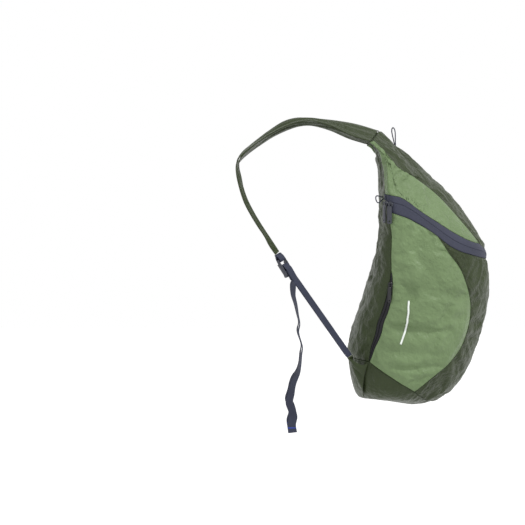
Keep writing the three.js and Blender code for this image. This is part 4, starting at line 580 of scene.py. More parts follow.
def round_back(half):
    """A line from one side, continued round the middle of the back."""
    other = half[::-1][1:].copy()
    other[:, 0] = 2 * math.pi - other[:, 0]
    return np.vstack([half, other])


POCKET_TOP = skin_place(0.062, 0.512)[1]


def pocket_front():
    share = (LOWER_BACK[:, 1] - POCKET_TOP) / (LOWER_BACK[-1, 1] - POCKET_TOP)
    gape = np.where(share <= 0, 0, POCKET_ZIP_WIDTH * np.sin(math.pi * np.clip(share, 0, 1)) ** 0.7)
    turn, down = LOWER_BACK.T
    pace = np.linalg.norm(smooth_skin(turn - 0.01, down) - smooth_skin(turn, down), axis=-1)
    return np.stack([turn - 0.01 * gape / pace, down], axis=1)


FRONT_SIDE = np.vstack([LOWER_FRONT, BOTTOM_FRONT[1:]])
FRONT_BOTTOM = across_front(FRONT_SIDE[-1], FRONT_SIDE[-1, 1] + FRONT_BOTTOM_SAG)
BAND_END = np.stack([UPPER_BACK[-1], LOWER_BACK[0]])
BACK_SIDE = np.vstack([UPPER_BACK, LOWER_BACK])


def back_bottom():
    corner = BACK_SIDE[-1]
    share = np.linspace(0, 1, FINE + 1)
    down = corner[1] - 0.01 * np.sin(math.pi / 2 * share)
    return np.stack([corner[0] + (math.pi - corner[0]) * share, down], axis=1)


# Grids and meshes


def edge_shares(length, cell, hem):
    """Shares along an edge at even cells, with one narrow cell for the hem at each end."""
    count = max(int(round((length - 2 * hem) / cell)), 2)
    inner = np.linspace(hem / length, 1 - hem / length, count + 1)
    return np.concatenate([[0], inner, [1]])


def at_shares(line, shares):
    """Places on a line at shares of its length on the skin."""
    points = smooth_skin(line[:, 0], line[:, 1])
    lengths = run_lengths(points)
    wanted = shares * lengths[-1]
    return np.stack([np.interp(wanted, lengths, line[:, k]) for k in (0, 1)], axis=1), lengths[-1]


def patch(top, bottom, left, right, cell, hem):
    """Places all over a panel, and how far each lies from the panel's first corner, in millimetres."""
    width = max(at_shares(edge, np.zeros(1))[1] for edge in (top, bottom))
    height = max(at_shares(edge, np.zeros(1))[1] for edge in (left, right))
    u = edge_shares(width, cell, hem)
    v = edge_shares(height, cell, hem)
    top, bottom = at_shares(top, u)[0], at_shares(bottom, u)[0]
    left, right = at_shares(left, v)[0], at_shares(right, v)[0]
    du, dv = u[None, :, None], v[:, None, None]
    places = top[None] * (1 - dv) + bottom[None] * dv + left[:, None] * (1 - du) + right[:, None] * du
    corners = (top[0] * (1 - du) + top[-1] * du) * (1 - dv) + (bottom[0] * (1 - du) + bottom[-1] * du) * dv
    spans = np.stack(np.meshgrid(u * width, v * height), axis=-1)
    return places - corners, spans


def grid_mesh(name, points, spans, outward=None):
    """Mesh over a grid of points in millimetres, with a UV map in metres."""
    rows, columns = points.shape[:2]
    bm = bmesh.new()
    bmesh.ops.create_grid(bm, x_segments=columns - 1, y_segments=rows - 1, size=0.5)
    uv = bm.loops.layers.uv.new("Cloth")
    places = {}
    for vert in bm.verts:
        column = int(round((vert.co.x + 0.5) * (columns - 1)))
        row = int(round((vert.co.y + 0.5) * (rows - 1)))
        places[vert.index] = (row, column)
        vert.co = Vector(points[row, column]) * MM
    for face in bm.faces:
        for loop in face.loops:
            loop[uv].uv = Vector(spans[places[loop.vert.index]]) * MM
    bm.normal_update()
    if outward is not None:
        row, column = rows // 2, columns // 2
        middle = next(v for v in bm.verts if places[v.index] == (row, column))
        if middle.normal.dot(Vector(outward[row, column])) < 0:
            bmesh.ops.reverse_faces(bm, faces=bm.faces[:])
    order = np.array([places[i] for i in range(len(bm.verts))])
    return finished(name, bm), order


def placed(name, data):
    piece = bpy.data.objects.new(name, data)
    bpy.context.collection.objects.link(piece)
    return piece


def finished(name, bm):
    mesh = bpy.data.meshes.new(name)
    bm.to_mesh(mesh)
    bm.free()
    mesh.shade_smooth()
    return placed(name, mesh)


def thicken(piece, thickness, offset=-1.0, levels=1):
    if levels:
        rounder = piece.modifiers.new("Rounder", "SUBSURF")
        rounder.levels = rounder.render_levels = levels
    wall = piece.modifiers.new("Wall", "SOLIDIFY")
    wall.thickness = thickness * MM
    wall.offset = offset
    wall.use_even_offset = False


def round_edges(piece, width, segments):
    rim = piece.modifiers.new("Edges", "BEVEL")
    rim.width = width * MM
    rim.segments = segments
    return rim


def dress(piece, look, body="bag", replaces=()):
    piece.data.materials.clear()
    piece.data.materials.append(look)
    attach(piece, body)
    if replaces:
        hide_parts(*replaces)
    return piece


def wrinkle(points, size, seed):
    """Smooth noise between -1 and 1 at points in millimetres."""
    shift = Vector((seed * 17.3, seed * 5.1, seed * 9.7))
    flat = points.reshape(-1, 3) / size
    values = [noise.noise(Vector(p) + shift) for p in flat]
    return np.array(values).reshape(points.shape[:-1])


def inset_rim(points, normals, depth):
    """Sinks the rim of a grid into the seam."""
    sunk = points.copy()
    for index in (np.s_[0, :], np.s_[-1, :], np.s_[:, 0], np.s_[:, -1]):
        sunk[index] = points[index] - normals[index] * depth
    return sunk


def mesh_places(mesh):
    """The points of a mesh as rows."""
    flat = np.empty(len(mesh.vertices) * 3)
    mesh.vertices.foreach_get("co", flat)
    return flat.reshape(-1, 3)


def loosen(piece, free, sizes):
    """Makes a piece cloth that is pinned wherever none of it is free."""
    pins = piece.vertex_groups.new(name="Pins")
    pins.add([int(i) for i in np.nonzero(free < 1e-6)[0]], 1.0, "REPLACE")
    cloth = piece.modifiers.new("Cloth", "CLOTH")
    for name, value in CLOTH_SETTINGS.items():
        setattr(cloth.settings, name, value)
    cloth.settings.shrink_min = -sizes.cloth_excess
    cloth.settings.uniform_pressure_force = sizes.cloth_pressure
    cloth.settings.effector_weights.gravity = 0
    cloth.point_cache.frame_start = 1
    cloth.point_cache.frame_end = sizes.settle_frames


def settle(pieces, sizes):
    """Lets pinned cloth that is cut a little too large buckle between its seams."""
    scene = bpy.context.scene
    starts = [mesh_places(piece.data) for piece, _ in pieces]
    for piece, free in pieces:
        loosen(piece, free, sizes)
    scene.frame_start = 1
    scene.frame_end = sizes.settle_frames
    for number in range(1, sizes.settle_frames + 1):
        scene.frame_set(number)
    graph = bpy.context.evaluated_depsgraph_get()
    ends = [mesh_places(piece.evaluated_get(graph).data) for piece, _ in pieces]
    for (piece, free), start, end in zip(pieces, starts, ends):
        moved = (end - start) * free[:, None]
        far = np.linalg.norm(moved, axis=1, keepdims=True)
        cap = sizes.cloth_cap
        held = start + moved * np.where(far > 1e-9, cap * np.tanh(far / cap) / np.maximum(far, 1e-9), 1)
        piece.modifiers.remove(piece.modifiers["Cloth"])
        piece.vertex_groups.clear()
        piece.data.vertices.foreach_set("co", held.ravel())
        piece.data.update()
    scene.frame_set(1)


# Materials


class Wire:
    """A socket whose sums and products are Math nodes."""

    def __init__(self, finish, socket):
        self.finish = finish
        self.socket = socket

    def _math(self, operation, *values):
        return self.finish.add("ShaderNodeMath", {"operation": operation}, dict(enumerate(values)))

    def __add__(self, other):
        return self._math("ADD", self, other)

    def __sub__(self, other):
        return self._math("SUBTRACT", self, other)

    def __mul__(self, other):
        return self._math("MULTIPLY", self, other)

    def sine(self):
        return self._math("SINE", self)

    def clipped(self):
        limited = self._math("ADD", self, 0.0)
        limited.socket.node.use_clamp = True
        return limited

    __radd__ = __add__


class Finish:
    """A material of this bag, with its Principled shader at hand."""

    def __init__(self, name, slot):
        self.material = bpy.data.materials.new(name)
        self.material.use_nodes = True
        self.material["slot"] = slot
        self.tree = self.material.node_tree
        self.shader = self.tree.nodes["Principled BSDF"]

    def add(self, kind, settings=None, inputs=None, output=0):
        node = self.tree.nodes.new(kind)
        for key, value in (settings or {}).items():
            setattr(node, key, value)
        for key, value in (inputs or {}).items():
            self.set(node.inputs[key], value)
        return Wire(self, node.outputs[output])

    def set(self, socket, value):
        if isinstance(value, Wire):
            self.tree.links.new(value.socket, socket)
        else:
            socket.default_value = value

    def shade(self, **values):
        for key, value in values.items():
            self.set(self.shader.inputs[key.replace("_", " ").title()], value)

    def coordinates(self, output="Object"):
        return self.add("ShaderNodeTexCoord", output=output)

    def split(self, vector):
        node = self.add("ShaderNodeSeparateXYZ", inputs={0: vector}).socket.node
        return [Wire(self, node.outputs[k]) for k in range(3)]

    def noise(self, vector, scale, detail=3.0, roughness=0.5):
        inputs = {"Vector": vector, "Scale": scale, "Detail": detail, "Roughness": roughness}
        return self.add("ShaderNodeTexNoise", inputs=inputs)

    def mix(self, factor, a, b):
        node = self.add("ShaderNodeMix", {"data_type": "RGBA"}).socket.node
        self.set(node.inputs[0], factor)
        self.set(node.inputs[6], a)
        self.set(node.inputs[7], b)
        return Wire(self, node.outputs[2])

    def bump(self, height, distance, strength=1.0, normal=None):
        inputs = {"Height": height, "Distance": distance, "Strength": strength}
        if normal is not None:
            inputs["Normal"] = normal
        return self.add("ShaderNodeBump", inputs=inputs)


def linear(colour, factor=1.0):
    """An sRGB colour as a linear one with alpha, made lighter or darker by a factor."""
    parts = [((c + 0.055) / 1.055) ** 2.4 if c > 0.04045 else c / 12.92 for c in colour]
    return (*(min(p * factor, 1.0) for p in parts), 1.0)


def cloth_finish(name, slot, colour, sizes):
    """Fine plain-woven nylon with a soft sheen and small crumples."""
    f = Finish(name, slot)
    place = f.coordinates()
    u, v, _ = f.split(f.coordinates("UV"))
    thread = 2 * math.pi / sizes.thread_pitch
    weave = (u * thread).sine() * (v * thread).sine()
    crumple = f.noise(place, 42.0, 4.0, 0.55)
    fine = f.noise(place, 170.0, 3.0, 0.5)
    cloud = f.noise(place, 11.0, 2.0, 0.5)
    tone = (cloud * 0.7 + fine * 0.3 - 0.5) * 2.2 + 0.5
    shaded = f.mix(tone.clipped(), linear(colour, 0.86), linear(colour, 1.14))
    woven = f.mix((weave * 0.5 + 0.5) * 0.07, shaded, linear(colour, 1.5))
    wide = f.noise(place, 19.0, 5.0, 0.6)
    height = wide * 1.5 + crumple + fine * 0.2
    bumped = f.bump(height, 0.006, 0.9)
    bumped = f.bump(weave, 0.00005, 0.3, bumped)
    f.shade(base_color=woven, roughness=0.4 + (fine - 0.5) * 0.25, normal=bumped)
    f.shader.inputs["Specular IOR Level"].default_value = 0.16
    f.shader.inputs["Sheen Weight"].default_value = 0.04
    f.shader.inputs["Sheen Roughness"].default_value = 0.4
    f.shader.inputs["Sheen Tint"].default_value = linear(colour, 2.5)
    return f.material


def tape_finish(name, slot, colour, rib, roughness=0.72):
    """Woven tape with ribs along it."""
    f = Finish(name, slot)
    place = f.coordinates()
    u, v, _ = f.split(f.coordinates("UV"))
    ribs = (v * (2 * math.pi / rib)).sine()
    picks = (u * (2 * math.pi / rib) + v * (math.pi / rib)).sine()
    fine = f.noise(place, 300.0, 2.0)
    cloud = f.noise(place, 25.0, 2.0)
    tone = (ribs * 0.2 + picks * 0.12 + cloud * 0.8 + fine * 0.3).clipped()
    shade = f.mix(tone, linear(colour, 0.75), linear(colour, 1.25))
    bumped = f.bump(ribs * 0.7 + picks * 0.4, 0.00012, 0.7)
    f.shade(base_color=shade, roughness=roughness + (fine - 0.5) * 0.2, normal=bumped)
    f.shader.inputs["Specular IOR Level"].default_value = 0.3
    return f.material


def moulded_finish(name, slot, colour, roughness, grain=0.00003):
    """Moulded plastic with a fine grain and slightly worn tone."""
    f = Finish(name, slot)
    place = f.coordinates()
    fine = f.noise(place, 900.0, 2.0)
    cloud = f.noise(place, 60.0, 3.0)
    shade = f.mix(cloud, linear(colour, 0.85), linear(colour, 1.15))
    f.shade(base_color=shade, roughness=roughness + (cloud - 0.5) * 0.2, normal=f.bump(fine, grain, 0.5))
    return f.material


def cord_finish(name, slot, colour):
    """Braided cord."""
    f = Finish(name, slot)
    place = f.coordinates()
    x, y, z = f.split(place)
    turn = 2 * math.pi / 0.0016
    braid = ((x + y + z) * turn).sine() * ((x - y + z) * turn).sine()
    shade = f.mix((braid * 0.5 + 0.5).clipped(), linear(colour, 0.7), linear(colour, 1.3))
    f.shade(base_color=shade, roughness=0.75, normal=f.bump(braid, 0.00015, 0.6))
    return f.material


LOOKS = {}


def length_property(name, description, default):
    return FloatProperty(name=name, description=description, default=default * MM, unit="LENGTH")


def colour_property(name, colour):
    description = f"Colour of the {name.lower()}"
    return FloatVectorProperty(
        name=name, description=description, subtype="COLOR", size=3, min=0, max=1, default=colour
    )


class BackpackSizes(bpy.types.PropertyGroup):
    cell: length_property("Cell", "Size of the cloth's cells", 4.2)
    cloth_wall: length_property("Cloth", "Thickness of the cloth", 0.9)
    cloth_excess: FloatProperty(name="Excess", description="How much too large it is cut", default=0.035)
    cloth_pressure: FloatProperty(name="Pressure", description="How firmly the bag is filled", default=0.4)
    cloth_cap: length_property("Cap", "Furthest that cloth may buckle", 6)
    settle_frames: IntProperty(name="Frames", description="Steps that the cloth settles for", default=22)
    thread_pitch: length_property("Thread", "Distance between threads", 0.9)
    pucker_height: length_property("Puckers", "Height of the puckers", 1.7)
    pucker_reach: length_property("Pucker reach", "How far they run", 15)
    pucker_pitch: length_property("Pucker pitch", "How far apart they are", 6)
    crumple_height: length_property("Crumples", "Height of the creases", 1.6)
    stitch: length_property("Stitch", "Length of one stitch", 2.6)


class BackpackColours(bpy.types.PropertyGroup):
    dark_cloth: colour_property("Dark cloth", (0.176, 0.208, 0.126))
    light_cloth: colour_property("Light cloth", (0.372, 0.442, 0.31))
    zip_tape: colour_property("Zip tape", (0.18, 0.19, 0.245))
    webbing: colour_property("Webbing", (0.16, 0.175, 0.235))
    plastic: colour_property("Plastic", (0.17, 0.18, 0.215))
    glossy: colour_property("Glossy", (0.035, 0.035, 0.06))
    thread: colour_property("Thread", (0.19, 0.23, 0.15))
    accent: colour_property("Accent thread", (0.12, 0.2, 0.5))
    reflective: colour_property("Reflective strip", (0.78, 0.8, 0.78))


def make_looks(sizes, colours):
    LOOKS.update(
        dark=cloth_finish("Dark nylon", "dark_cloth", colours.dark_cloth, sizes),
        light=cloth_finish("Light nylon", "light_cloth", colours.light_cloth, sizes),
        tape=tape_finish("Zip tape", "zip_tape", colours.zip_tape, 0.0012),
        pocket_tape=tape_finish("Pocket tape", "zip_tape", colours.glossy, 0.0012, 0.5),
        webbing=tape_finish("Webbing", "webbing", colours.webbing, 0.0016),
        plastic=moulded_finish("Grey plastic", "plastic", colours.plastic, 0.42),
        glossy=moulded_finish("Black gloss", "glossy", colours.glossy, 0.18, 0.00001),
        cord=cord_finish("Braid", "cord", colours.webbing),
        thread=cord_finish("Sewing thread", "dark_cloth", colours.thread),
        light_thread=cord_finish("Light sewing thread", "light_cloth", colours.light_cloth),
        accent=cord_finish("Accent thread", "webbing", colours.accent),
        reflective=moulded_finish("Reflective strip", "dark_cloth", colours.reflective, 0.3),
    )


# Panels


def panel_edges():
    """The four edges of each cloth panel: top, bottom, left and right."""
    top_corner = UPPER_FRONT[-1, 0]
    front_corner = LOWER_FRONT[0, 0]
    upper = part_of(UPPER_LINE, 0, top_corner)
    lower = part_of(LOWER_LINE, 0, front_corner)
    band_side = part_of(UPPER_LINE, top_corner, UPPER_LINE[-1, 0])
    lower_side = part_of(LOWER_LINE, front_corner, LOWER_LINE[-1, 0])
    armpit = level(ARMPIT_FRONT, ARMPIT_BACK, 0)
    other = mirrored(BACK_SIDE) + np.array([2 * math.pi, 0])
    neck = both_sides(level(0, ARMPIT_FRONT, 0))
    back_neck = round_back(level(ARMPIT_BACK, math.pi, 0))
    edges = {
        "top_panel": (neck, both_sides(upper), mirrored(UPPER_FRONT), UPPER_FRONT),
        "front_panel": (both_sides(lower), both_sides(FRONT_BOTTOM), mirrored(FRONT_SIDE), FRONT_SIDE),
        "back_panel": (back_neck, round_back(back_bottom()), BACK_SIDE, other),
    }
    for tag, sign, back in (("l", -1, pocket_front()), ("r", 1, LOWER_BACK)):
        side = mirrored if sign < 0 else (lambda line: line)
        edges["upper_side_" + tag] = [side(e) for e in (armpit, band_side, UPPER_FRONT, UPPER_BACK)]
        edges["lower_side_" + tag] = [side(e) for e in (lower_side, LOWER_BOTTOM[::-1], LOWER_FRONT, back)]
    return edges


def rim_distances(spans):
    """How far each point of a panel lies from its top, bottom, left and right edge, in millimetres."""
    x, y = spans[..., 0], spans[..., 1]
    return y, y.max() - y, x, x.max() - x


def calm(spans, width=SEAM_CALM):
    """Rises from 0 at the rim of a panel to 1 inside it."""
    nearest = np.min(rim_distances(spans), axis=0)
    return 1 - np.exp(-((nearest / width) ** 2))


def cut_panel(name, places, spans, seed):
    """The panel as it is cut: the skin with its folds, which run out at the seams."""
    turn, down = places[..., 0], places[..., 1]
    normals = skin_normal(turn, down)
    points = smooth_skin(turn, down)
    inward = fold_depth(points, turn, down) * calm(spans)
    swell = SWELL_HEIGHT * wrinkle(points, SWELL_SIZE, seed) * calm(spans)
    points = points + normals * (swell - inward)[..., None]
    return grid_mesh(name + "_cloth", points, spans, normals)


def finer(grid):
    """The grid with a smooth point between each two."""
    for axis in (0, 1):
        g = np.moveaxis(grid, axis, 0)
        before = np.concatenate([2 * g[:1] - g[1:2], g[:-2]])
        after = np.concatenate([g[2:], 2 * g[-1:] - g[-2:-1]])
        between = (9 * (g[:-1] + g[1:]) - before - after) / 16
        made = np.empty((2 * len(g) - 1, *g.shape[1:]))
        made[::2] = g
        made[1::2] = between
        grid = np.moveaxis(made, 0, axis)
    return grid


def grid_normals(points, like):
    normals = unit(np.cross(np.gradient(points, axis=1), np.gradient(points, axis=0)))
    return normals * np.sign((normals * like).sum(axis=(0, 1, 2)) or 1)


def pucker_height(spans, seed, sizes):
    """Short wrinkles that run away from each seam, in millimetres."""
    height = np.zeros(spans.shape[:2])
    x, y = spans[..., 0], spans[..., 1]
    rims = rim_distances(spans)
    for number, (distance, along) in enumerate(zip(rims, (x, x, y, y))):
        reach = sizes.pucker_reach / MM
        lean = along + PUCKER_LEAN * distance * math.sin(seed + number)
        flat = np.stack([lean, PUCKER_DRAW * distance, 0 * lean + number], axis=-1)
        ripples = 0.65 * wrinkle(flat, sizes.pucker_pitch / MM, seed + number)
        ripples = ripples + 0.35 * wrinkle(flat, sizes.pucker_pitch / MM / 2.3, seed + number + 9)
        rise = 1 - np.exp(-((distance / PUCKER_START) ** 2))
        height = height + ripples * np.exp(-distance / reach) * rise
    return height * sizes.pucker_height / MM


def crumple_height(points, seed, sizes):
    """Sharp little creases all over, as in cloth that has been packed small."""
    ridges = 0
    for size, share in CRUMPLES:
        ridges = ridges + share * (0.5 - np.abs(wrinkle(points, size, seed + size)))
    return ridges * sizes.crumple_height / MM


def stitch_rows(name, rows, look, sizes):
    """Small stitches along rows, each a line of points and the cloth's normals there."""
    bm = bmesh.new()
    bmesh.ops.create_icosphere(bm, subdivisions=1, radius=1)
    round_points = np.array([v.co for v in bm.verts])
    round_faces = np.array([[v.index for v in f.verts] for f in bm.faces])
    bm.free()
    size = np.array([sizes.stitch * 0.42, sizes.stitch * 0.13, sizes.stitch * 0.1]) / MM
    places, faces = [], []
    for points, normals in rows:
        length = np.linalg.norm(np.diff(points, axis=0), axis=1).sum()
        both = resample(np.hstack([points, normals]), max(int(length * MM / sizes.stitch), 2))
        path = both[:, :3]
        along = unit(np.gradient(path, axis=0))
        out = unit(both[:, 3:])
        side = np.cross(along, out)
        for centre, t, s, n in zip(path, along, side, out):
            faces.append(round_faces + len(places) * len(round_points))
            places.append(centre + (round_points * size) @ np.array([t, s, n]))
    mesh = bpy.data.meshes.new(name)
    mesh.from_pydata(np.vstack(places) * MM, [], np.vstack(faces).tolist())
    mesh.shade_smooth()
    dress(placed(name, mesh), look)


def settled_grid(piece, order):
    """Points and normals of a grid's vertices, in millimetres, as rows and columns."""
    rows, columns = order.max(axis=0) + 1
    points = np.zeros((rows, columns, 3))
    normals = np.zeros((rows, columns, 3))
    for vert, (row, column) in zip(piece.data.vertices, order):
        points[row, column] = vert.co
        normals[row, column] = vert.normal
    return points / MM, normals


def edge_rows(points, normals, edges):
    """Rows just inside named edges of a grid, a little above the cloth."""
    row, last = STITCH_ROW, -1 - STITCH_ROW
    picks = {"top": np.s_[row], "bottom": np.s_[last], "left": np.s_[:, row], "right": np.s_[:, last]}
    return [(points[picks[e]] + normals[picks[e]] * STITCH_LIFT, normals[picks[e]]) for e in edges]


def bottom_grid(sizes):
    half = np.vstack([FRONT_BOTTOM, BOTTOM_FRONT[::-1][1:], LOWER_BOTTOM[::-1][1:], back_bottom()[1:]])
    rim = np.vstack([half, mirrored(half)[::-1][1:]])
    around = np.linalg.norm(np.diff(smooth_skin(*rim.T), axis=0), axis=1).sum() * MM
    count = int(2 * around / sizes.cell)
    rim = at_shares(rim, np.linspace(0, 1, count + 1))[0]
    share = np.concatenate([[0, BOTTOM_HEM], np.linspace(BOTTOM_START, 1, BOTTOM_ROWS)])[:, None]
    down = rim[None, :, 1] * (1 - share) + BOTTOM_MIDDLE * share
    turn = np.broadcast_to(rim[None, :, 0], down.shape)
    return np.stack([turn, down], axis=-1)


def bottom_panel(sizes):
    places = bottom_grid(sizes)
    turn, down = places[..., 0], places[..., 1]
    normals = skin_normal(turn, down)
    points = smooth_skin(turn, down)
    spans = points[..., :2].copy()
    inside = np.linalg.norm(np.diff(points, axis=0), axis=-1).cumsum(axis=0)
    inside = np.vstack([np.zeros(inside.shape[1]), inside])
    around = np.linalg.norm(np.diff(points[0], axis=0), axis=-1).cumsum()
    around = np.broadcast_to(np.concatenate([[0], around]), inside.shape)
    lean = np.stack([around, 0.15 * inside, 0 * inside], axis=-1)
    ripples = wrinkle(lean, 7.0, 31) + 0.4 * wrinkle(lean, 3.2, 37)
    reach = np.exp(-inside / BOTTOM_PUCKER_REACH) * (1 - np.exp(-inside / 3))
    height = BOTTOM_PUCKER_HEIGHT * ripples * reach
    calmed = 1 - np.exp(-((inside / SEAM_CALM) ** 2))
    height = height + crumple_height(points, 41, sizes) * calmed
    height = height - fold_depth(points, turn, down) * calmed
    seamless = np.minimum(np.arange(points.shape[1]), np.arange(points.shape[1])[::-1]) / 6
    height = height * np.clip(seamless, 0, 1)[None]
    points = points + normals * height[..., None]
    points[0] -= normals[0] * SEAM_DEPTH
    row = points[STITCH_ROW] + normals[STITCH_ROW] * STITCH_LIFT
    stitch_rows("bottom_stitches", [(row, normals[STITCH_ROW])], LOOKS["thread"], sizes)
    piece, _ = grid_mesh("bottom_panel_cloth", points, spans, normals)
    bm = bmesh.new()
    bm.from_mesh(piece.data)
    bmesh.ops.remove_doubles(bm, verts=bm.verts[:], dist=0.15 * MM)
    holes = [e for e in bm.edges if e.is_boundary and max(v.co.z for v in e.verts) < BOTTOM_LOWEST]
    if holes:
        bmesh.ops.holes_fill(bm, edges=holes, sides=0)
    bm.to_mesh(piece.data)
    bm.free()
    piece.data.shade_smooth()
    return piece


# Edges of each panel that have a row of stitches just inside them
STITCHED = {
    "top_panel": ("bottom", "left", "right"),
    "front_panel": ("top", "left", "right"),
    "back_panel": ("left", "right"),
    "upper_side": ("bottom",),
    "lower_side": ("top",),
}


STRIP_COURSE = [(0.23, 0.619), (0.225, 0.668), (0.202, 0.722), (0.155, 0.776)]
STRIP_WIDTH = 3.2
STRIP_LIFT = 0.9


def make_strip(points, normals):
    """A plain narrow strip on the cloth of the left lower side panel."""
    seen = np.array([side_place(out, down) for out, down in STRIP_COURSE])
    course = Thread(np.hstack([seen, 0 * seen[:, :1]])).at(np.linspace(0, 1, 37))[:, :2]
    cloth, facing = points.reshape(-1, 3), normals.reshape(-1, 3)
    middles, outs = [], []
    for place in course:
        near = np.exp(-((np.linalg.norm(cloth[:, 1:] - place, axis=1) / 2.2) ** 2))[:, None]
        middles.append((cloth * near).sum(axis=0) / near.sum())
        outs.append(unit((facing * near).sum(axis=0)))
    middles = np.array(middles) + np.array(outs) * STRIP_LIFT
    wides = unit(np.cross(np.gradient(middles, axis=0), np.array(outs)))
    grid = middles[:, None] + wides[:, None] * (np.array([-0.5, 0, 0.5]) * STRIP_WIDTH)[None, :, None]
    length = np.linspace(0, 74, len(grid))
    spans = np.stack(np.meshgrid(np.array([0, 0.5, 1]) * STRIP_WIDTH, length), axis=-1)
    facings = np.broadcast_to(np.array(outs)[:, None], grid.shape)
    piece, _ = grid_mesh("reflective_strip", grid, spans, facings)
    thicken(piece, STRIP_WALL, levels=0)
    dress(piece, LOOKS["reflective"])


def make_panels(sizes):
    cut = []
    for seed, (name, edges) in enumerate(panel_edges().items()):
        places, spans = patch(*edges, sizes.cell / MM, HEM)
        piece, order = cut_panel(name, places, spans, 3 * seed)
        cut.append((name, piece, order, spans))
    settle([(piece, calm(spans, SEAM_HOLD)[tuple(order.T)]) for _, piece, order, spans in cut], sizes)
    for seed, (name, piece, order, spans) in enumerate(cut):
        sew_panel(name, *settled_grid(piece, order), spans, 5 * seed, sizes)
        bpy.data.meshes.remove(piece.data)
    bottom = dress(bottom_panel(sizes), LOOKS["dark"], replaces=["bottom_panel"])
    thicken(bottom, sizes.cloth_wall / MM, levels=0)


def sew_panel(name, points, outward, spans, seed, sizes):
    points, outward, spans = finer(points), finer(outward), finer(spans)
    normals = grid_normals(points, outward)
    height = pucker_height(spans, seed, sizes) + crumple_height(points, seed, sizes) * calm(spans)
    points = points + normals * height[..., None]
    points = inset_rim(points, normals, SEAM_DEPTH)
    if name == "lower_side_l":
        make_strip(points, normals)
    kind = name.removesuffix("_l").removesuffix("_r")
    is_light = "side" in name
    rows = edge_rows(points, normals, STITCHED[kind])
    stitch_rows(name + "_stitches", rows, LOOKS["light_thread" if is_light else "thread"], sizes)
    piece, _ = grid_mesh(name + "_cloth", points, spans, normals)
    dress(piece, LOOKS["light" if is_light else "dark"], replaces=[name])
    thicken(piece, sizes.cloth_wall / MM, levels=0)


# Zips


def band_places(share, count):
    upper = at_shares(UPPER_LINE, np.linspace(0, 1, count + 1))[0]
    lower = at_shares(LOWER_LINE, np.linspace(0, 1, count + 1))[0]
    turns = upper[:, 0] * (1 - share) + lower[:, 0] * share
    down_upper = np.interp(turns, UPPER_LINE[:, 0], UPPER_LINE[:, 1])
    down_lower = np.interp(turns, LOWER_LINE[:, 0], LOWER_LINE[:, 1])
    return np.stack([turns, down_upper * (1 - share) + down_lower * share], axis=1)


def strip_mesh(name, lines, raises, widths):
    """Mesh over lines of places, each raised off the skin, with a UV map along and across."""
    places = np.stack(lines)
    turn, down = places[..., 0], places[..., 1]
    normals = skin_normal(turn, down)
    points = smooth_skin(turn, down) + normals * np.asarray(raises)[:, None, None]
    spans = np.stack(np.meshgrid(run_lengths(points[0]), widths), axis=-1)
    piece, _ = grid_mesh(name, points, spans, normals)
    return piece


def make_main_zip():
    """The band's two tapes, with the coil in the upper one."""
    profiles = {
        "upper": (
            (0.0, 0.035, 0.1, 0.25, 0.38, 0.46, 0.49, 0.5),
            (-1.2, 0.3, 0.5, 0.4, 0.5, 0.75, 0.55, -0.5),
        ),
        "lower": (
            (0.5, 0.51, 0.54, 0.62, 0.75, 0.9, 0.965, 1.0),
            (-0.5, 0.55, 0.75, 0.5, 0.4, 0.5, 0.3, -1.2),
        ),
    }
    for tag, (shares, raises) in profiles.items():
        lines = [both_sides(band_places(s, ZIP_CELLS)) for s in shares]
        piece = strip_mesh(f"main_zip_{tag}_tape", lines, raises, np.array(shares) * BAND_WIDTH)
        thicken(piece, TAPE_WALL, levels=0)
        replaced = [f"main_zip_tape_{tag}"] + (["main_zip_coil"] if tag == "upper" else [])
        dress(piece, LOOKS["tape"], replaces=replaced)


def pocket_lines(shares):
    front = mirrored(pocket_front())
    back = mirrored(LOWER_BACK)
    turn, down = back.T
    gap = np.linalg.norm(smooth_skin(front[:, 0], down) - smooth_skin(turn, down), axis=-1)
    shown = gap > 1.4
    return [(back[shown] * (1 - s) + front[shown] * s) for s in shares]


def make_pocket_zip():
    """The pocket's two tapes, with the coil in the front one."""
    profiles = {
        "back": ((0.0, 0.08, 0.3, 0.44, 0.5), (-1.1, 0.1, 0.2, 0.6, -0.3)),
        "front": ((0.5, 0.56, 0.7, 0.92, 1.0), (-0.3, 0.6, 0.2, 0.1, -1.1)),
    }
    for tag, (shares, raises) in profiles.items():
        lines = pocket_lines(shares)
        piece = strip_mesh(f"pocket_zip_{tag}", lines, raises, np.array(shares) * POCKET_ZIP_WIDTH)
        thicken(piece, TAPE_WALL, levels=0)
        replaced = [f"pocket_zip_tape_{tag}"] + (["pocket_zip_coil"] if tag == "front" else [])
        dress(piece, LOOKS["pocket_tape"], replaces=replaced)


# Straps, webbing and wings


def strap_points(fore, drop, across):
    reach = np.where(fore > 0, CHEST_REACH, SHOULDER_REACH)
    return np.stack([across * BODY_WIDTH / 2, fore * reach, -drop * STRAP_DROP], axis=-1)


def strap_root(share):
    across = STRAP_ROOT[0] + (STRAP_ROOT[1] - STRAP_ROOT[0]) * np.asarray(share, float)
    y, z = side_place(NECK_OUT(across), NECK_DOWN(across))
    lift = STRAP_THICKNESS / 2 + SEAM_GAP
    return np.stack([across * BODY_WIDTH / 2, y + NECK_UP[0] * lift, z + NECK_UP[1] * lift], axis=-1)


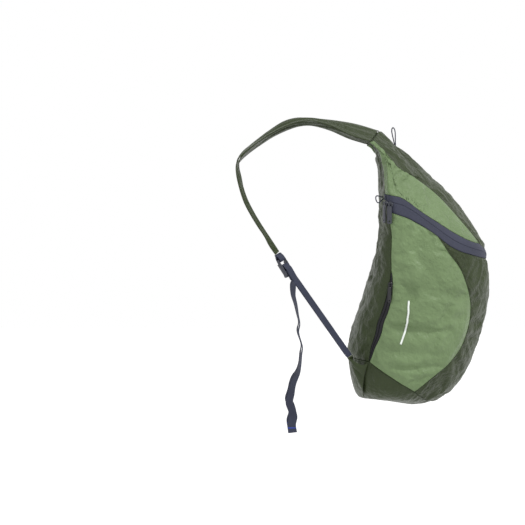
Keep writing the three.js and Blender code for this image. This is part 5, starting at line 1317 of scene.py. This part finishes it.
def strap_surface(rows, columns):
    """Points over the strap from root to end, its upward direction, and shares from edge to edge."""
    inner = Thread(np.vstack([strap_root(0), strap_points(*STRAP[:, :3].T)]))
    outer = Thread(np.vstack([strap_root(1), strap_points(*STRAP[:, 3:].T)]))
    place = np.linspace(0, 1, rows + 1)
    a, b = inner.at(place), outer.at(place)
    tangent = np.gradient(a, axis=0) + np.gradient(b, axis=0)
    up = -unit(np.cross(tangent, b - a))
    share = np.linspace(0, 1, columns + 1)
    fade = np.sin(math.pi * np.clip(place / STRAP_PLEAT_END, 0, 1)) ** 0.8
    at_root = 1 - ease(place * len(STRAP))
    wave = np.sin(STRAP_PLEATS * 2 * math.pi * share) * np.sin(math.pi * share)
    bow = strap_root(share) - (strap_root(0) * (1 - share[:, None]) + strap_root(1) * share[:, None])
    points = a[:, None] * (1 - share[None, :, None]) + b[:, None] * share[None, :, None]
    points = points + bow[None] * at_root[:, None, None]
    points = points + up[:, None] * (STRAP_PLEAT * fade[:, None] * wave[None])[..., None]
    return points, np.broadcast_to(up[:, None], points.shape), share


def flipped(points, sign):
    return points * np.array([sign, 1, 1])


def make_straps():
    points, up, share = strap_surface(*STRAP_CELLS)
    length = run_lengths(points[:, STRAP_CELLS[1] // 2])
    spans = np.stack(np.meshgrid(share * STRAP_WIDTH, length), axis=-1)
    inside = np.sin(math.pi * share)[None] ** 0.5
    for tag, sign in SIDES:
        lines = np.stack([spans[..., 0], 0.12 * spans[..., 1], 0 * spans[..., 0]], axis=-1)
        crinkle = 0.9 * wrinkle(lines, 6.0, 50 + sign) + 0.4 * wrinkle(lines, 3.0, 60 + sign)
        moved = points + up * (crinkle * inside)[..., None]
        piece, _ = grid_mesh(f"strap_{tag}_cloth", flipped(moved, sign), spans, flipped(up, sign))
        thicken(piece, STRAP_WALL, 0.0)
        dress(piece, LOOKS["dark"], replaces=[f"strap_{tag}"])


def buckle_frame():
    last = STRAP[-1]
    end = (strap_points(*last[:3]) + strap_points(*last[3:])) / 2
    lean, roll = BUCKLE_LEAN * DEG, WEBBING_ROLL * DEG
    along = np.array([0, -math.sin(lean), -math.cos(lean)])
    forward = np.array([0, math.cos(lean), -math.sin(lean)])
    sideways = np.array([1, 0, 0])
    wide = sideways * math.cos(roll) + forward * math.sin(roll)
    out = forward * math.cos(roll) - sideways * math.sin(roll)
    return {"origin": end + along * BUCKLE_DISTANCE, "along": along, "wide": wide, "out": out}


BUCKLE = buckle_frame()
BUCKLE_SLOT = (BUCKLE_LENGTH - 2 * BUCKLE_BAR - BUCKLE_LIP_LENGTH) / 2
MIDDLE_BAR = BUCKLE_BAR + BUCKLE_SLOT
LIP_START = BUCKLE_LENGTH - BUCKLE_LIP_LENGTH
PLY = math.hypot(BUCKLE_THICKNESS, BUCKLE_BAR) / 2 + WEBBING_CLEARANCE + WEBBING_THICKNESS / 2


def half_turn(s, radius, start, end):
    angles = np.linspace(start, end, 7) * DEG
    return [(s + radius * math.cos(a), radius * math.sin(a)) for a in angles]


def buckle_path(spots):
    """Middles and outward directions of webbing along spots in the buckle's frame."""
    spots = np.array(spots, float)
    middles = BUCKLE["origin"] + spots[:, :1] * BUCKLE["along"] + spots[:, 1:] * BUCKLE["out"]
    run = np.gradient(spots, axis=0)
    run = run / np.linalg.norm(run, axis=1, keepdims=True)
    outs = run[:, :1] * BUCKLE["out"] - run[:, 1:] * BUCKLE["along"]
    return middles, outs


def ribbon(name, middles, wides, sign, look, replaces, thickness=WEBBING_THICKNESS, width=WEBBING_WIDTH):
    """Flat webbing along a smooth path through its middles."""
    count = 6 * (len(middles) - 1)
    both = Thread(np.hstack([middles, wides * 20])).at(np.linspace(0, 1, count + 1))
    path, wide = both[:, :3], unit(both[:, 3:])
    across = np.array([-0.5, -0.47, -0.25, 0, 0.25, 0.47, 0.5]) * width
    points = path[:, None] + wide[:, None] * across[None, :, None]
    run = unit(np.gradient(path, axis=0))
    outs = np.broadcast_to(unit(np.cross(run, wide))[:, None], points.shape)
    spans = np.stack(np.meshgrid(across, run_lengths(path)), axis=-1)
    piece, _ = grid_mesh(name, flipped(points, sign), spans, flipped(outs, sign))
    thicken(piece, thickness, 0.0, levels=0)
    round_edges(piece, 0.25, 2)
    dress(piece, look, replaces=replaces)
    return path, wide


def anchor():
    y, z = side_place(WING_TIP[1], WING_TIP[2])
    return np.array([WING_TIP[0] * BODY_WIDTH / 2, y, z])


def webbing_course():
    lower = PLY + WEBBING_THICKNESS + WEBBING_CLEARANCE
    bar = MIDDLE_BAR + BUCKLE_BAR / 2
    threaded = [
        (BUCKLE_LENGTH + 6, -lower), (LIP_START, -lower), (bar + 6, -lower + 0.2), (bar + 3, -PLY - 0.7),
        *half_turn(bar, PLY, 270, 90),
        (bar + 2.4, PLY - 0.3), (bar + 4.3, 1), (bar + 6.8, -1.2), (LIP_START - 2, 0.2 - PLY),
        (LIP_START + 0.5, -PLY), (BUCKLE_LENGTH + 1, -PLY), (BUCKLE_LENGTH + 4.5, 0.6 - PLY),
    ]
    middles, _ = buckle_path(threaded)
    pull = unit(middles[0] - anchor())
    start = anchor() + pull * (SEAM_GAP + WING_THICKNESS / 2)
    run = [start + (middles[0] - start) * s for s in (0, 0.2, 0.4, 0.6, 0.8, 0.93)]
    wides = [BUCKLE["wide"]] * (len(run) + len(middles))
    first = middles[-1]
    tail = first + np.stack([0 * TAIL[:, 0], -TAIL[:, 1] * TAIL_SWAY, -TAIL[:, 0] * TAIL_DROP], axis=1)
    path = unit(np.gradient(tail, axis=0))
    front = unit(np.cross(np.array([1, 0, 0]), path))
    turn = TAIL[:, 2:] * DEG
    tail_wides = np.cos(turn) * np.array([1, 0, 0]) - np.sin(turn) * front
    return np.vstack([run, middles, tail]), np.vstack([wides, tail_wides])


END_STITCH_HEIGHT = 2.0
END_STITCH_WIDTH = 14.2


def make_webbing():
    bar = BUCKLE_BAR / 2
    near = WEBBING_THICKNESS / 2 + WEBBING_CLEARANCE / 2
    start = 2 * SEAM_GAP - BUCKLE_DISTANCE
    spots = [
        (start, near), (start + 3, near), (bar - 4.5, PLY - 0.6), *half_turn(bar, PLY, 90, -90),
        (bar - 4.5, 0.6 - PLY), (start + 3, -near), (start + 1, -near),
    ]
    short, _ = buckle_path(spots)
    middles, wides = webbing_course()
    for tag, sign in SIDES:
        wide = np.broadcast_to(BUCKLE["wide"], short.shape)
        cloth, thread = LOOKS["webbing"], LOOKS["accent"]
        ribbon(f"strap_webbing_{tag}_loop", short, wide, sign, cloth, [f"strap_webbing_{tag}"])
        path, across = ribbon(f"webbing_{tag}_run", middles, wides, sign, cloth, [f"webbing_{tag}"])
        ends = [len(path) - 1 - back for back in (4, 3)]
        seams = np.array([path[i] for i in ends]), np.array([across[i] for i in ends])
        ribbon(f"webbing_{tag}_end_stitch", *seams, sign, thread, [], END_STITCH_HEIGHT, END_STITCH_WIDTH)


def wing_surface(rows, columns):
    corner = LOWER_BACK[-1]
    share = np.linspace(0, 1, columns + 1)
    turn = corner[0] + (WING_CORNER_TURN * DEG - corner[0]) * share
    start = corner[1] + WING_BASE_DROP
    down = start + (WING_CORNER_DOWN - corner[1] - WING_BASE_DROP) * share
    lift = SEAM_GAP + WING_THICKNESS + WING_PLEAT
    base = smooth_skin(turn, down) + skin_normal(turn, down) * lift
    tip = anchor() + BUCKLE["wide"] * (WEBBING_WIDTH * (0.5 - share))[:, None]
    out = unit(np.cross(base[-1] - base[0], tip[0] - base[0]))
    out = out if out[0] > 0 else -out
    grid = []
    for place in np.linspace(0, 1, rows + 1):
        row = base + (tip - base) * place
        middle = row[columns // 2]
        rise = math.sin(math.pi * (WING_WAVE_START + WING_WAVE_SPAN * place))
        wave = np.sin(share * WING_PLEATS * 2 * math.pi) * rise
        hollow = WING_HOLLOW * math.sin(math.pi * place)
        row = row + (middle - row) * hollow
        grid.append(row + out * (WING_PLEAT * (wave + hollow))[:, None])
    grid = np.array(grid)
    normals = unit(np.cross(np.gradient(grid, axis=1), np.gradient(grid, axis=0)))
    bulge = WING_BULGE * np.sin(math.pi * np.linspace(0, 1, rows + 1))
    return grid + normals * bulge[:, None, None], normals


def make_wings():
    points, outs = wing_surface(WING_CELLS, WING_CELLS)
    wide, long = (np.linspace(0, size, WING_CELLS + 1) for size in (WING_WIDTH, WING_LENGTH))
    spans = np.stack(np.meshgrid(wide, long), axis=-1)
    for tag, sign in SIDES:
        moved = points + outs * (0.5 * wrinkle(points, 8.0, 70 + sign))[..., None]
        piece, _ = grid_mesh(f"wing_{tag}_cloth", flipped(moved, sign), spans, flipped(outs, sign))
        thicken(piece, WING_WALL, 0.0)
        dress(piece, LOOKS["dark"], replaces=[f"wing_{tag}"])


# Hard pieces and cords


def rounded_copy(node, look, body="bag", width=0.35):
    """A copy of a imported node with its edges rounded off, in place of it."""
    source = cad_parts[node]
    bm = bmesh.new()
    bm.from_mesh(source.data)
    bmesh.ops.remove_doubles(bm, verts=bm.verts[:], dist=0.005 * MM)
    bmesh.ops.dissolve_limit(bm, angle_limit=1.5 * DEG, verts=bm.verts[:], edges=bm.edges[:])
    bmesh.ops.recalc_face_normals(bm, faces=bm.faces[:])
    piece = finished(node + "_moulded", bm)
    rim = round_edges(piece, width, 3)
    rim.limit_method = "ANGLE"
    rim.angle_limit = 28 * DEG
    dress(piece, look, body, [node])


def loop_curve(name, base, up, across, height, width, node):
    points = [base + up * (u * height) + across * (a * width) for a, u in LOOP_COURSE]
    data = bpy.data.curves.new(name, "CURVE")
    data.dimensions = "3D"
    spline = data.splines.new("POLY")
    fine = Thread(points).at(np.linspace(0, 1, 97)) * MM
    spline.points.add(len(fine) - 1)
    for point, place in zip(spline.points, fine):
        point.co = (*place, 1)
    data.bevel_depth = CORD_DIAMETER / 2 * MM
    data.bevel_resolution = 3
    piece = placed(name, data)
    dress(piece, LOOKS["cord"], replaces=[node])
    tuple(fine[0])


def make_cords():
    y, z = side_place(float(NECK_OUT(0)), float(NECK_DOWN(0)))
    lift = NECK_ACROSS[1] * NECK_THICKNESS / 2 + SEAM_GAP + HANG_LOOP_LIFT
    base = np.array([0, y, z + lift])
    up, across = unit(np.array(HANG_LOOP_UP)), unit(np.array(HANG_LOOP_ACROSS))
    loop_curve("hang_loop_cord", base, up, across, HANG_LOOP_HEIGHT, HANG_LOOP_WIDTH, "hang_loop")
    turn = np.array(-BAND_END[0, 0])
    down = np.array(BAND_END[0, 1] + (BAND_END[1, 1] - BAND_END[0, 1]) * PULL_LOOP_PLACE)
    base = skin(turn, down) + skin_normal(turn, down) * PULL_LOOP_LIFT
    up = unit(np.array(PULL_LOOP_UP))
    across = np.array(PULL_LOOP_ACROSS)
    across = unit(across - up * np.dot(across, up))
    loop_curve("pull_loop_cord", base, up, across, PULL_LOOP_LENGTH, PULL_LOOP_WIDTH, "pull_loop")


CHEEK = {"from": 7.0, "to": 30.0, "low": -2.6, "high": 4.6, "width": 2.6, "round": 1.1}


def make_cheeks():
    """The raised sides of each ladder buckle."""
    rail = WEBBING_WIDTH / 2 + WEBBING_CLEARANCE + CHEEK["width"] / 2 + 0.1
    for tag, sign in SIDES:
        for side in (-1, 1):
            bm = bmesh.new()
            bmesh.ops.create_cube(bm, size=1.0)
            for vert in bm.verts:
                is_end = vert.co.y > 0
                along = CHEEK["to"] if is_end else CHEEK["from"]
                high = CHEEK["high"] * (0.75 if is_end else 1.0)
                n = high if vert.co.z > 0 else CHEEK["low"]
                across = side * rail + vert.co.x * CHEEK["width"]
                place = BUCKLE["origin"] + along * BUCKLE["along"] + n * BUCKLE["out"]
                place = place + across * BUCKLE["wide"]
                vert.co = Vector(flipped(place, sign)) * MM
            bmesh.ops.recalc_face_normals(bm, faces=bm.faces[:])
            piece = finished(f"ladder_lock_{tag}_cheek_{'in' if side < 0 else 'out'}", bm)
            round_edges(piece, CHEEK["round"], 4)
            dress(piece, LOOKS["plastic"])


def make_hard_pieces():
    make_cheeks()
    for tag in "lr":
        rounded_copy(f"ladder_lock_{tag}", LOOKS["plastic"], width=0.4)
        rounded_copy(f"zip_end_{tag}", LOOKS["tape"], width=0.2)
    for tag in "ab":
        rounded_copy(f"main_slider_{tag}", LOOKS["plastic"], width=0.25)
        rounded_copy(f"main_puller_{tag}", LOOKS["plastic"], f"main_puller_{tag}", 0.25)
    rounded_copy("pocket_slider", LOOKS["glossy"], width=0.25)
    rounded_copy("pocket_puller", LOOKS["glossy"], "pocket_puller", 0.25)


# Stage, in metres

SENSOR_WIDTH = 36
CAMERA_DISTANCE = 8.0
BAG_OFFSET = 0.06
VIEW_WIDTH = 1.7 * MM * 525
VIEW_MIDDLE = (0.07905, -0.23885)
FLOOR_HEIGHT = -0.78
FLOOR_GLOW = 0.78

# Name, place, size and power of each light
LIGHTS = (
    ("Key", (-3.0, -3.0, 5.0), 1.2, 320),
    ("Fill", (-5.0, 3.5, 1.5), 1.5, 40),
    ("Front", (-1.5, -6.0, 0.5), 1.5, 40),
)
LIT_PLACE = (0, -0.15, -0.25)


def make_stage():
    scene = bpy.context.scene
    data = bpy.data.cameras.new("Camera")
    camera = bpy.data.objects.new("Camera", data)
    scene.collection.objects.link(camera)
    scene.camera = camera
    data.lens = SENSOR_WIDTH * (CAMERA_DISTANCE - BAG_OFFSET) / VIEW_WIDTH
    data.sensor_width = SENSOR_WIDTH
    data.clip_end = 60
    camera.location = (-CAMERA_DISTANCE, *VIEW_MIDDLE)
    camera.rotation_euler = (math.pi / 2, 0, -math.pi / 2)
    make_room()
    for name, place, size, power in LIGHTS:
        lamp = bpy.data.lights.new(name, "AREA")
        lamp.shape = "DISK"
        lamp.size = size
        lamp.energy = power
        obj = bpy.data.objects.new(name, lamp)
        scene.collection.objects.link(obj)
        obj.location = place
        aim = Vector(LIT_PLACE) - Vector(place)
        obj.rotation_euler = aim.to_track_quat("-Z", "Y").to_euler()
    world = bpy.data.worlds.new("Room")
    scene.world = world
    world.use_nodes = True
    shade = world.node_tree.nodes["Background"]
    shade.inputs[0].default_value = (1, 1, 1, 1)
    shade.inputs[1].default_value = 1.0
    scene.view_settings.view_transform = "Standard"
    scene.view_settings.look = "None"


def make_room():
    """A pale floor that is wide enough to be all that shows behind the bag."""
    bm = bmesh.new()
    bmesh.ops.create_grid(bm, x_segments=8, y_segments=8, size=30)
    bmesh.ops.translate(bm, verts=bm.verts[:], vec=(0, 0, FLOOR_HEIGHT))
    floor = finished("floor", bm)
    f = Finish("Pale floor", "dark_cloth")
    cloud = f.noise(f.coordinates(), 0.8, 2.0)
    f.shade(base_color=f.mix(cloud, (0.3, 0.3, 0.3, 1), (0.32, 0.32, 0.32, 1)), roughness=0.9)
    f.shader.inputs["Emission Color"].default_value = (1, 1, 1, 1)
    f.shader.inputs["Emission Strength"].default_value = FLOOR_GLOW
    floor.data.materials.append(f.material)


# Operators


def settings():
    scene = bpy.context.scene
    return scene.backpack_sizes, scene.backpack_colours


class BACKPACK_OT_stage(bpy.types.Operator):
    """Set up the camera, the lights and the pale room"""

    bl_idname = "backpack.stage"
    bl_label = "Stage"

    def execute(self, context):
        make_stage()
        return {"FINISHED"}


class BACKPACK_OT_cords(bpy.types.Operator):
    """Make the finishes and lay the cord loops"""

    bl_idname = "backpack.cords"
    bl_label = "Cord loops"

    def execute(self, context):
        make_looks(*settings())
        make_cords()
        return {"FINISHED"}


class BACKPACK_OT_panels(bpy.types.Operator):
    """Sew the cloth panels of the body"""

    bl_idname = "backpack.panels"
    bl_label = "Cloth panels"

    def execute(self, context):
        make_panels(settings()[0])
        return {"FINISHED"}


class BACKPACK_OT_zips(bpy.types.Operator):
    """Lay the main zip and the pocket zip"""

    bl_idname = "backpack.zips"
    bl_label = "Zips"

    def execute(self, context):
        make_main_zip()
        make_pocket_zip()
        return {"FINISHED"}


class BACKPACK_OT_straps(bpy.types.Operator):
    """Make the straps, the webbing and the wings"""

    bl_idname = "backpack.straps"
    bl_label = "Straps and webbing"

    def execute(self, context):
        make_straps()
        make_webbing()
        make_wings()
        return {"FINISHED"}


class BACKPACK_OT_hardware(bpy.types.Operator):
    """Mould the buckles, sliders and pullers"""

    bl_idname = "backpack.hardware"
    bl_label = "Buckles and sliders"

    def execute(self, context):
        make_hard_pieces()
        return {"FINISHED"}


class BACKPACK_PT_panel(bpy.types.Panel):
    """Lists the backpack's makers"""

    bl_idname = "BACKPACK_PT_panel"
    bl_label = "Backpack"
    bl_space_type = "VIEW_3D"
    bl_region_type = "UI"
    bl_category = "Backpack"

    def draw(self, context):
        for maker in MAKERS:
            self.layout.operator(maker.bl_idname)
        for group in settings():
            for name in group.__annotations__:
                self.layout.prop(group, name)


MAKERS = (
    BACKPACK_OT_stage,
    BACKPACK_OT_cords,
    BACKPACK_OT_panels,
    BACKPACK_OT_zips,
    BACKPACK_OT_straps,
    BACKPACK_OT_hardware,
)
CLASSES = (BackpackSizes, BackpackColours, *MAKERS, BACKPACK_PT_panel)


def register():
    for cls in CLASSES:
        bpy.utils.register_class(cls)
    bpy.types.Scene.backpack_sizes = PointerProperty(type=BackpackSizes)
    bpy.types.Scene.backpack_colours = PointerProperty(type=BackpackColours)


def unregister():
    del bpy.types.Scene.backpack_colours
    del bpy.types.Scene.backpack_sizes
    for cls in reversed(CLASSES):
        bpy.utils.unregister_class(cls)


def main():
    register()
    bpy.ops.backpack.stage()
    bpy.ops.backpack.cords()
    bpy.ops.backpack.panels()
    bpy.ops.backpack.zips()
    bpy.ops.backpack.straps()
    bpy.ops.backpack.hardware()


if __name__ == "__main__":
    main()
